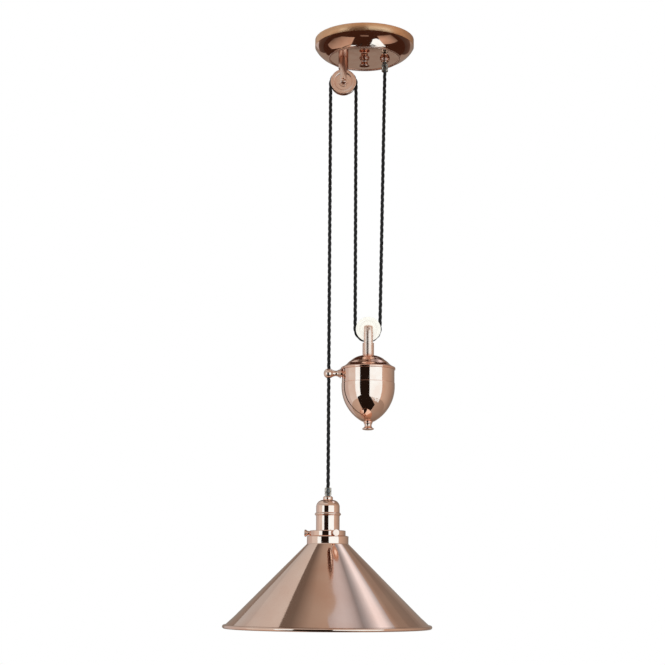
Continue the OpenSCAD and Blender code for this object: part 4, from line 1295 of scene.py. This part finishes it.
@dataclass
class TwistedCord:
    """The cord: three braided cores laid up together, from the terminal block to the lamp."""

    axes: Axes
    bench: Bench
    core_r: float = 1.5
    lay_r: float = 1.42
    lay_mm: float = 30.0
    step_mm: float = 1.6
    lap_mm: float = 1.2
    split_drop: float = 7.5
    travelled: float = 0.0
    side: Vector = field(default_factory=lambda: Vector((0, 1, 0)))

    def build(self) -> None:
        """Lay the cord's stretches in order from the lamp to the block."""
        a = self.axes
        split = (a.lamp_x, 0, a.cap_z - self.split_drop)
        self.stretch("lamp_cord_tail", self.line(split, (a.lamp_x, 0, a.lamp_grip_z)), Body.LAMP)
        run = self.run("lamp_cord_run", (a.lamp_x, 0, a.lamp_grip_z), (a.lamp_x, 0, a.upper_loop_z))
        self.blend(run, Body.LAMP)
        loop = self.arc((a.pulley_x, a.upper_loop_z), a.upper_loop_r, 180, 0)
        self.stretch("upper_cord_loop", loop, Body.CEILING)
        run = self.run("middle_cord_run", (a.middle_x, 0, a.upper_loop_z), (a.middle_x, 0, a.weight_loop_z))
        self.blend(run, Body.COUNTERWEIGHT)
        tilt, length = self.tangent()
        low = self.arc((a.weight_loop_x, a.weight_loop_z), a.weight_loop_r, 180, 360 - tilt)
        self.stretch("weight_cord_loop", low, Body.COUNTERWEIGHT)
        start = Vector(low[-1])
        lean = math.radians(tilt)
        end = start + Vector((math.sin(lean), 0, math.cos(lean))) * length
        run = self.run("right_cord_run", start, end)
        self.blend(run, Body.COUNTERWEIGHT)
        self.tail()
        self.cores()

    def tangent(self) -> tuple[float, float]:
        """Lean of the right run in degrees and its length, from the canopy's grip to the
        loop that it just touches."""
        a = self.axes
        dx, dz = a.boss_x - a.weight_loop_x, a.canopy_grip_end - 0.05 - a.weight_loop_z
        length = math.sqrt(dx * dx + dz * dz - a.weight_loop_r**2)
        tilt = math.degrees(math.atan2(length, a.weight_loop_r) - math.atan2(dz, dx))
        return tilt, length

    def line(self, start: Sequence[float], end: Sequence[float]) -> list[Vector]:
        """Points along a straight stretch."""
        p, q = Vector(start), Vector(end)
        count = max(2, round((q - p).length / self.step_mm))
        return [p.lerp(q, i / count) for i in range(count + 1)]

    def arc(self, centre: Point, r: float, start: float, end: float) -> list[Vector]:
        """Points along an arc in the plane Y = 0, from one angle in degrees to another."""
        count = max(8, round(abs(math.radians(end - start)) * r / self.step_mm))
        angles = (math.radians(start + (end - start) * i / count) for i in range(count + 1))
        return [Vector((centre[0] + r * math.cos(a), 0, centre[1] + r * math.sin(a))) for a in angles]

    def stretch(self, node: str, path: Sequence[Vector], body: Body | None) -> Object:
        """Twist three cores along a path, in step with the stretch before.

        Args:
            node: node that the stretch stands for.
            path: points in millimetres.
            body: body that it rides on, or None if it hangs between two and rides on none.

        Returns:
            The stretch as a mesh.
        """
        strands: list[list[Vector]] = [[], [], []]
        for i, p in enumerate(path):
            ahead = path[min(i + 1, len(path) - 1)] - path[max(i - 1, 0)]
            ahead.normalize()
            if i:
                self.travelled += (p - path[i - 1]).length
            self.side = (self.side - ahead * self.side.dot(ahead)).normalized()
            across = ahead.cross(self.side)
            for k, strand in enumerate(strands):
                a = TURN * (self.travelled / self.lay_mm + k / 3)
                strand.append(p + (self.side * math.cos(a) + across * math.sin(a)) * self.lay_r)
        piece = self.tube(node + "_twisted", strands, self.core_r)
        self.bench.dress(piece, BraidedCotton())
        if body:
            self.bench.place(piece, body, Slot.CORD, [node])
        return piece

    def run(self, node: str, start: Sequence[float], end: Sequence[float]) -> Object:
        """Twist a straight run that laps a little over its neighbours at both ends.

        Args:
            node: node that the run stands for.
            start: where it starts.
            end: where it ends.

        Returns:
            The run as a mesh.
        """
        p, q = Vector(start), Vector(end)
        over = (q - p).normalized() * self.lap_mm
        self.travelled -= self.lap_mm
        piece = self.stretch(node, self.line(p - over, q + over), None)
        self.travelled -= self.lap_mm
        return piece

    def tube(self, name: str, lines: Sequence[Sequence[Vector]], r: float) -> Object:
        """Sweep round cores along lines, with a UV map in millimetres.

        Args:
            name: name of the piece.
            lines: one list of points in millimetres for each core.
            r: radius of a core in millimetres.

        Returns:
            The mesh object.
        """
        curve = bpy.data.curves.new(name, "CURVE")
        curve.dimensions = "3D"
        curve.bevel_depth = r * MM
        curve.bevel_resolution = 2
        curve.use_fill_caps = True
        longest = 0.0
        for points in lines:
            spline = curve.splines.new("POLY")
            spline.points.add(len(points) - 1)
            for slot, p in zip(spline.points, points):
                slot.co = (p.x * MM, p.y * MM, p.z * MM, 1)
            longest = max(longest, sum((q - p).length for p, q in zip(points, points[1:])))
        holder = bpy.data.objects.new(name + "_curve", curve)
        bpy.context.scene.collection.objects.link(holder)
        graph = bpy.context.evaluated_depsgraph_get()
        mesh = bpy.data.meshes.new_from_object(holder.evaluated_get(graph))
        bpy.data.objects.remove(holder)
        bpy.data.curves.remove(curve)
        for corner in mesh.uv_layers[0].data:
            corner.uv = (corner.uv.x * longest, corner.uv.y * TURN * r)
        mesh.shade_smooth()
        piece = bpy.data.objects.new(name, mesh)
        bpy.context.scene.collection.objects.link(piece)
        return piece

    def blend(self, piece: Object, body: Body) -> None:
        """Fix a run in place between the ceiling and a body that slides, on no body of its own.

        Args:
            piece: the run.
            body: body at its lower end.
        """
        node = piece.name.removesuffix("_twisted")
        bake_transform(piece)
        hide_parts(node)
        log.info("%s stretches from ceiling to %s", piece.name, body.value)

    def tail(self) -> None:
        """Lay the cord's tail through the boss and round to the back of the block."""
        a = self.axes
        wire_z, bend, turn, back = -9.0, 8.0, 7.5, 14.0
        rise = self.line((a.boss_x, 0, a.canopy_grip_end), (a.boss_x, 0, wire_z - bend))
        over = [
            Vector((a.boss_x, bend - bend * math.cos(t), wire_z - bend + bend * math.sin(t)))
            for t in (math.radians(v) for v in range(8, 91, 8))
        ]
        out = self.line((a.boss_x, bend, wire_z), (a.boss_x, back, wire_z))
        around = [
            Vector((a.boss_x - turn + turn * math.cos(t), back + turn * math.sin(t), wire_z))
            for t in (math.radians(v) for v in range(10, 181, 10))
        ]
        self.stretch("canopy_cord_tail", rise + over + out + around, Body.CEILING)

    def cores(self) -> None:
        """Lay the parted cores at both ends in their three colours."""
        a = self.axes
        colours = (("brown core", "#5A3A26"), ("earth core", "#7E9A2E"), ("blue core", "#2C4F86"))
        step, pitch, level, back, front = 2.3, 7.3, -9.0, 14.0, -0.5
        for k, (name, colour) in enumerate(colours):
            way = k - 1
            x0, x1 = 18 + way * step, 18 + way * pitch
            bend = abs(x1 - x0) / 2
            line = self.square_lead(bend, back - front, 1 if way >= 0 else -1)
            points = [Vector((x0 + p.x, back + p.y, level)) for p in line]
            points.append(Vector((x1, front - 6.0, level)))
            piece = self.tube(f"canopy_core_{k + 1}", [points], 1.0)
            self.bench.dress(piece, Moulded(name, colour, colour, 0.42))
            self.bench.place(piece, Body.CEILING, Slot.CORD, ["canopy_cores"])
            turned_by = Matrix.Rotation(math.pi + TURN * k / 3, 3, "Z")
            drop = [
                turned_by @ Vector((1.32 + p.x, 0, p.y)) + Vector((a.lamp_x, 0, a.cap_z - self.split_drop))
                for p in self.square_lead(1.64, 5.9, 1)
            ]
            piece = self.tube(f"lamp_core_{k + 1}", [drop], 1.05)
            self.bench.dress(piece, Moulded(name, colour, colour, 0.42))
            self.bench.place(piece, Body.LAMP, Slot.CORD, ["lamp_cores"])

    @staticmethod
    def square_lead(bend: float, length: float, side: int) -> list[Vector]:
        """Points of a core that steps sideways in two square bends as it runs along -Y."""
        if bend < 0.01:
            return [Vector((0, -length * i / 8, 0)) for i in range(9)]
        angles = [math.radians(v) for v in range(0, 91, 15)]
        first = [Vector((side * bend * (1 - math.cos(t)), -bend * math.sin(t), 0)) for t in angles]
        second = [
            Vector((side * (bend + bend * math.sin(t)), -2 * bend + bend * math.cos(t), 0)) for t in angles
        ]
        return [*first, *second[1:], Vector((side * 2 * bend, -length, 0))]


@dataclass(frozen=True)
class Card:
    """A studio card that only reflections see, and only from the side it shines to: a
    line spun round an upright axis.

    Azimuths are degrees from the camera's side (-Y) towards +X. Each point of the line is
    a radius, a height and a brightness, which fades from the first azimuth to the last.
    """

    name: str
    line: Sequence[Place]
    low: float
    high: float
    tint: str = "#FFFFFF"
    fade: float = 1.0
    axis: Place = (-20.0, 0.0, 0.0)
    toward: Place = (-20.0, 0.0, -600.0)

    def shape(self) -> bmesh.types.BMesh:
        """Spin the card, with its brightness on its vertices."""
        bm = bmesh.new()
        glow = bm.verts.layers.float.new("level")
        start, sweep = math.radians(self.low - 90), math.radians(self.high - self.low)
        wire = []
        for r, z, level in self.line:
            wire.append(bm.verts.new((r * math.cos(start), r * math.sin(start), z)))
            wire[-1][glow] = level
        edges = [bm.edges.new(pair) for pair in zip(wire, wire[1:])]
        steps = max(4, round((self.high - self.low) / 3))
        bmesh.ops.spin(bm, geom=wire + edges, cent=(0, 0, 0), axis=(0, 0, 1), angle=sweep, steps=steps)
        for v in bm.verts:
            turn = (math.atan2(v.co.y, v.co.x) - start + 1e-3) % TURN - 1e-3
            v[glow] *= 1 + (self.fade - 1) * turn / sweep
        bmesh.ops.translate(bm, vec=self.axis, verts=bm.verts)
        return bm


@dataclass(frozen=True)
class Cloth:
    """A flat or folded piece of studio cloth, with its brightness at each corner."""

    name: str
    corners: Sequence[tuple[float, float, float, float]]
    toward: Place
    tint: str = "#FFFFFF"

    def shape(self) -> bmesh.types.BMesh:
        """Stretch the cloth between its corners."""
        bm = bmesh.new()
        glow = bm.verts.layers.float.new("level")
        ring = []
        for x, y, z, level in self.corners:
            ring.append(bm.verts.new((x, y, z)))
            ring[-1][glow] = level
        bmesh.ops.triangulate(bm, faces=[bm.faces.new(ring)])
        return bm


def wall(name: str, low: float, high: float, z: Point, level: float, tint: str, fade: float = 1.0) -> Card:
    """A curved upright card between two azimuths and two heights."""
    r = 2960 if level > 1 else 2990
    return Card(name, ((r, z[0], level), (r, z[1], level)), low, high, tint, fade)


def mat(name: str, low: float, high: float, r: Point, level: float, tint: str, fade: float = 1.0) -> Card:
    """A flat card that lies just above the floor between two azimuths and two radii."""
    return Card(name, ((r[0], -2370, level), (r[1], -2370, level)), low, high, tint, fade)


def sky(name: str, low: float, high: float, line: Sequence[Point], tint: str) -> Card:
    """A piece of a dome round the lamp, from pairs of elevation and brightness."""
    points = []
    for (e0, b0), (e1, b1) in zip(line, line[1:]):
        for i in range(7):
            e, level = math.radians(e0 + (e1 - e0) * i / 6), b0 + (b1 - b0) * i / 6
            points.append((6000 * math.cos(e), 6000 * math.sin(e) - 870, level))
    return Card(name, points, low, high, tint, axis=(-54.5, 0.0, 0.0), toward=(-54.5, 0.0, -870.0))


def tray(name: str, *corners: Place, tint: str) -> Cloth:
    """A cloth level under the canopy, which shines up at it; corners are x, y, brightness."""
    return Cloth(name, [(x, y, -248.0, level) for x, y, level in corners], (0.0, 0.0, 0.0), tint)


@dataclass
class Studio:
    """Camera, soft boxes, cards, floor and the white background."""

    lens_mm: float = 81.6
    pitch: float = 9.33
    roll: float = 0.35
    place: Place = (-49.1, -2340.0, -865.9)

    def build(self) -> None:
        """Set up the view and the light."""
        self.camera()
        self.world()
        self.floor()
        self.front_light()
        for card in self.cards():
            self.hang(card)

    def camera(self) -> None:
        """Put the camera where the photograph was taken from."""
        data = bpy.data.cameras.new("camera")
        data.lens = self.lens_mm
        data.sensor_width = 36.0
        data.clip_end = 100.0
        camera = bpy.data.objects.new("camera", data)
        bpy.context.scene.collection.objects.link(camera)
        camera.matrix_world = (
            Matrix.Translation(Vector(self.place) * MM)
            @ Matrix.Rotation(math.radians(90 + self.pitch), 4, "X")
            @ Matrix.Rotation(math.radians(self.roll), 4, "Z")
        )
        bpy.context.scene.camera = camera

    def world(self) -> None:
        """An even white all round."""
        world = bpy.data.worlds.new("studio")
        bpy.context.scene.world = world
        world.use_nodes = True
        tree = world.node_tree
        tree.nodes.clear()
        light = add_node(tree, "ShaderNodeBackground", inputs={"Color": linear("#FFFFFF"), "Strength": 1.0})
        add_node(tree, "ShaderNodeOutputWorld", inputs={"Surface": light.outputs["Background"]})

    def front_light(self) -> None:
        """A broad soft light from the camera's side, which only matt surfaces take."""
        data = bpy.data.lights.new("front_light", "SUN")
        data.energy = 0.38
        data.angle = math.radians(50)
        light = bpy.data.objects.new("front_light", data)
        bpy.context.scene.collection.objects.link(light)
        turn, tip = math.radians(-12), math.radians(78)
        light.matrix_world = Matrix.Rotation(turn, 4, "Z") @ Matrix.Rotation(tip, 4, "X")
        light.visible_glossy = False
        light.visible_transmission = False

    def floor(self) -> None:
        """A plain pale floor a storey below the ceiling."""
        bm = bmesh.new()
        bmesh.ops.create_grid(bm, x_segments=2, y_segments=2, size=4000)
        bmesh.ops.translate(bm, vec=(0, 0, -2400), verts=bm.verts)
        piece = finish_mesh(bm, "floor")
        mat, tree, shader, coords = start_material("pale floor")
        sockets = {"Vector": coords.outputs["Object"], "Scale": 2.0, "Detail": 3.0}
        cloud = add_node(tree, "ShaderNodeTexNoise", inputs=sockets)
        tint = add_node(
            tree, "ShaderNodeMix", {"data_type": "RGBA"},
            {"Factor": cloud.outputs["Fac"], 6: linear("#F2F1EF"), 7: linear("#ECEBE8")},
        )
        shader.inputs["Roughness"].default_value = 0.8
        tree.links.new(tint.outputs[2], shader.inputs["Base Color"])
        piece.data.materials.append(mat)

    def cards(self) -> list[Card | Cloth]:
        """The soft boxes with the flag between them, grey flats, floor mats and the sky."""
        box, streak, pale, cool, warm = "#C7EBFF", "#DAEDFF", "#E3F0FF", "#EDFAFF", "#FFF6EA"
        copper, dark = "#FFE7D4", "#FFAE89"
        full, high = (-2370, 200), (200, 1300)
        over_canopy = (0.0, 0.0, 0.0)
        saucer_edge = ((560, -252, 0.06), (1100, -144, 0.12))
        left_end = ((-64, 92), (-40, 92), (-40, 60), (-66, 52))
        tray_front = ((-35, -176, 0.25), (34, -176, 0.25), (34, -216, 0.2), (-50, -216, 0.2))
        left_low = ((18, 0.44), (40, 0.55), (61.2, 0.62))
        left_top = ((61.2, 0.15), (68, 0.16), (80, 0.38), (90, 0.44))
        front = ((18, 0.5), (60, 0.45), (90, 0.44))
        right_low = ((18, 0.25), (44, 0.3), (48, 0.42))
        right_streak = ((48, 0.42), (51, 0.7), (53.5, 0.93), (57.5, 1.0), (61, 0.68), (65, 0.4), (68.5, 0.26))
        right_top = ((68.5, 0.26), (72, 0.44), (75.5, 0.53), (79, 0.58), (84, 0.56), (90, 0.44))
        return [
            wall("flag", -36.5, 5.5, full, 0.014, "#FFDAC3"),
            wall("soft_box_right", 5.5, 62, full, 1.03, box),
            wall("soft_box_left", -58, -36.5, full, 1.03, box),
            wall("flat_left", -96, -58, full, 0.7, cool),
            wall("flat_left_far", -150, -96, full, 0.48, "#F4FAFF", 1.25),
            wall("flat_right", 62, 150, full, 0.64, warm, 0.36),
            wall("flat_behind", 150, 210, full, 0.29, warm),
            wall("flat_left_high", -150, -40, high, 0.48, cool),
            wall("flat_front_high", -40, 90, high, 0.52, warm),
            wall("flat_right_high", 90, 150, high, 0.42, warm, 0.5),
            wall("flat_behind_high", 150, 210, high, 0.25, warm),
            mat("mat_box", 5.5, 62, (2100, 2960), 1.03, box),
            mat("mat_right", 5.5, 150, (300, 2990), 0.5, warm, 0.5),
            mat("mat_left", -150, -36.5, (300, 2990), 0.36, warm, 1.7),
            mat("mat_behind", 150, 210, (300, 2990), 0.2, warm),
            mat("mat_middle", 0, 360, (1, 300), 0.05, dark),
            self.black_cloth(),
            Card("saucer", ((1, -252, 0.04), (560, -252, 0.05)), 0, 360, dark, toward=over_canopy),
            Card("saucer_edge", saucer_edge, -150, 150, "#FFD8C4", toward=over_canopy),
            tray(
                "tray_left", *((-64, 92, 0.6), (-190, 190, 0.42), (-340, 140, 0.26), (-350, -50, 0.12)),
                *((-250, -150, 0.28), (-88, -150, 0.5)), tint=copper,
            ),
            tray("tray_left_end", *((x, y, 0.95) for x, y in left_end), tint=box),
            tray(
                "tray_white", *((28, 36, 1.05), (60, 90, 1.05), (112, 94, 1.05)),
                *((112, -90, 1.05), (90, -125, 0.8), (58, -105, 1.05)), tint=box,
            ),
            tray(
                "tray_right",
                *((112, 24, 0.5), (350, 10, 0.18), (360, -200, 0.16), (120, -190, 0.3), (112, -90, 0.65)),
                tint=copper,
            ),
            tray("tray_front", *tray_front, tint=copper),
            sky("sky_behind", 150, 210, ((18, 0.1), (30, 0.05), (66, 0.06), (72, 0.12)), dark),
            sky("sky_behind_top", 150, 210, ((72, 0.34), (80, 0.38), (90, 0.44)), warm),
            sky("sky_left", -150, 0, left_low, cool),
            sky("sky_left_top", -150, 0, left_top, warm),
            sky("sky_front", 0, 80, front, warm),
            sky("sky_right", 80, 150, right_low, warm),
            sky("sky_right_streak", 80, 150, right_streak, streak),
            sky("sky_right_top", 80, 150, right_top, pale),
        ]

    def black_cloth(self) -> Cloth:
        """The black cloth on the floor in front, which the counterweight's bowl mirrors."""
        drop, reach, level = 1770.0, 2880.0, 0.014
        left_folds = ((-36.5, -24), (-56, -27), (-58, -66), (-76, -80))
        right_folds = ((34, -72), (46, -50), (14, -33), (5.5, -28))
        corners = []
        for az, el in left_folds + right_folds:
            e, a = math.radians(-el), math.radians(az)
            far = min(reach, drop / math.sin(e))
            r = far * math.cos(e)
            corners.append((7 + r * math.sin(a), -r * math.cos(a), -590 - far * math.sin(e), level))
        return Cloth("black_cloth", corners, (7.0, 0.0, -590.0), "#FFDAC3")

    def hang(self, card: Card | Cloth) -> None:
        """Put a card up and light it from the side that it shines to.

        Args:
            card: its shape, place and brightness.
        """
        bm = card.shape()
        bm.normal_update()
        for face in bm.faces:
            if face.normal.dot(Vector(card.toward) - face.calc_center_median()) < 0:
                face.normal_flip()
        piece = finish_mesh(bm, card.name)
        paper = bpy.data.materials.new(card.name)
        paper.use_nodes = True
        tree = paper.node_tree
        tree.nodes.clear()
        level = add_node(tree, "ShaderNodeAttribute", {"attribute_name": "level"})
        r, g, b, alpha = linear(card.tint)
        glow = add_node(
            tree, "ShaderNodeEmission",
            inputs={"Color": (1.0, g / r, b / r, alpha), "Strength": level.outputs["Fac"]},
        )
        side = add_node(tree, "ShaderNodeNewGeometry")
        through = add_node(tree, "ShaderNodeBsdfTransparent")
        both = add_node(
            tree, "ShaderNodeMixShader",
            inputs={0: side.outputs["Backfacing"], 1: glow.outputs["Emission"], 2: through.outputs["BSDF"]},
        )
        add_node(tree, "ShaderNodeOutputMaterial", inputs={"Surface": both.outputs["Shader"]})
        piece.data.materials.append(paper)
        piece.visible_camera = False
        piece.visible_diffuse = False
        piece.visible_shadow = False
        piece.visible_transmission = False


def main() -> None:
    """Build the studio, the cord and then each sub-assembly."""
    logging.basicConfig(level=logging.INFO, format="%(message)s")
    scene = bpy.context.scene
    scene.view_settings.view_transform = "Standard"
    axes, bench = Axes(), Bench()
    Studio().build()
    TwistedCord(axes, bench).build()
    Canopy(axes, bench).build()
    Pulleys(axes, bench).build()
    Counterweight(axes, bench).build()
    Lampholder(axes, bench).build()
    Shade(axes, bench).build()


if __name__ == "__main__":
    main()
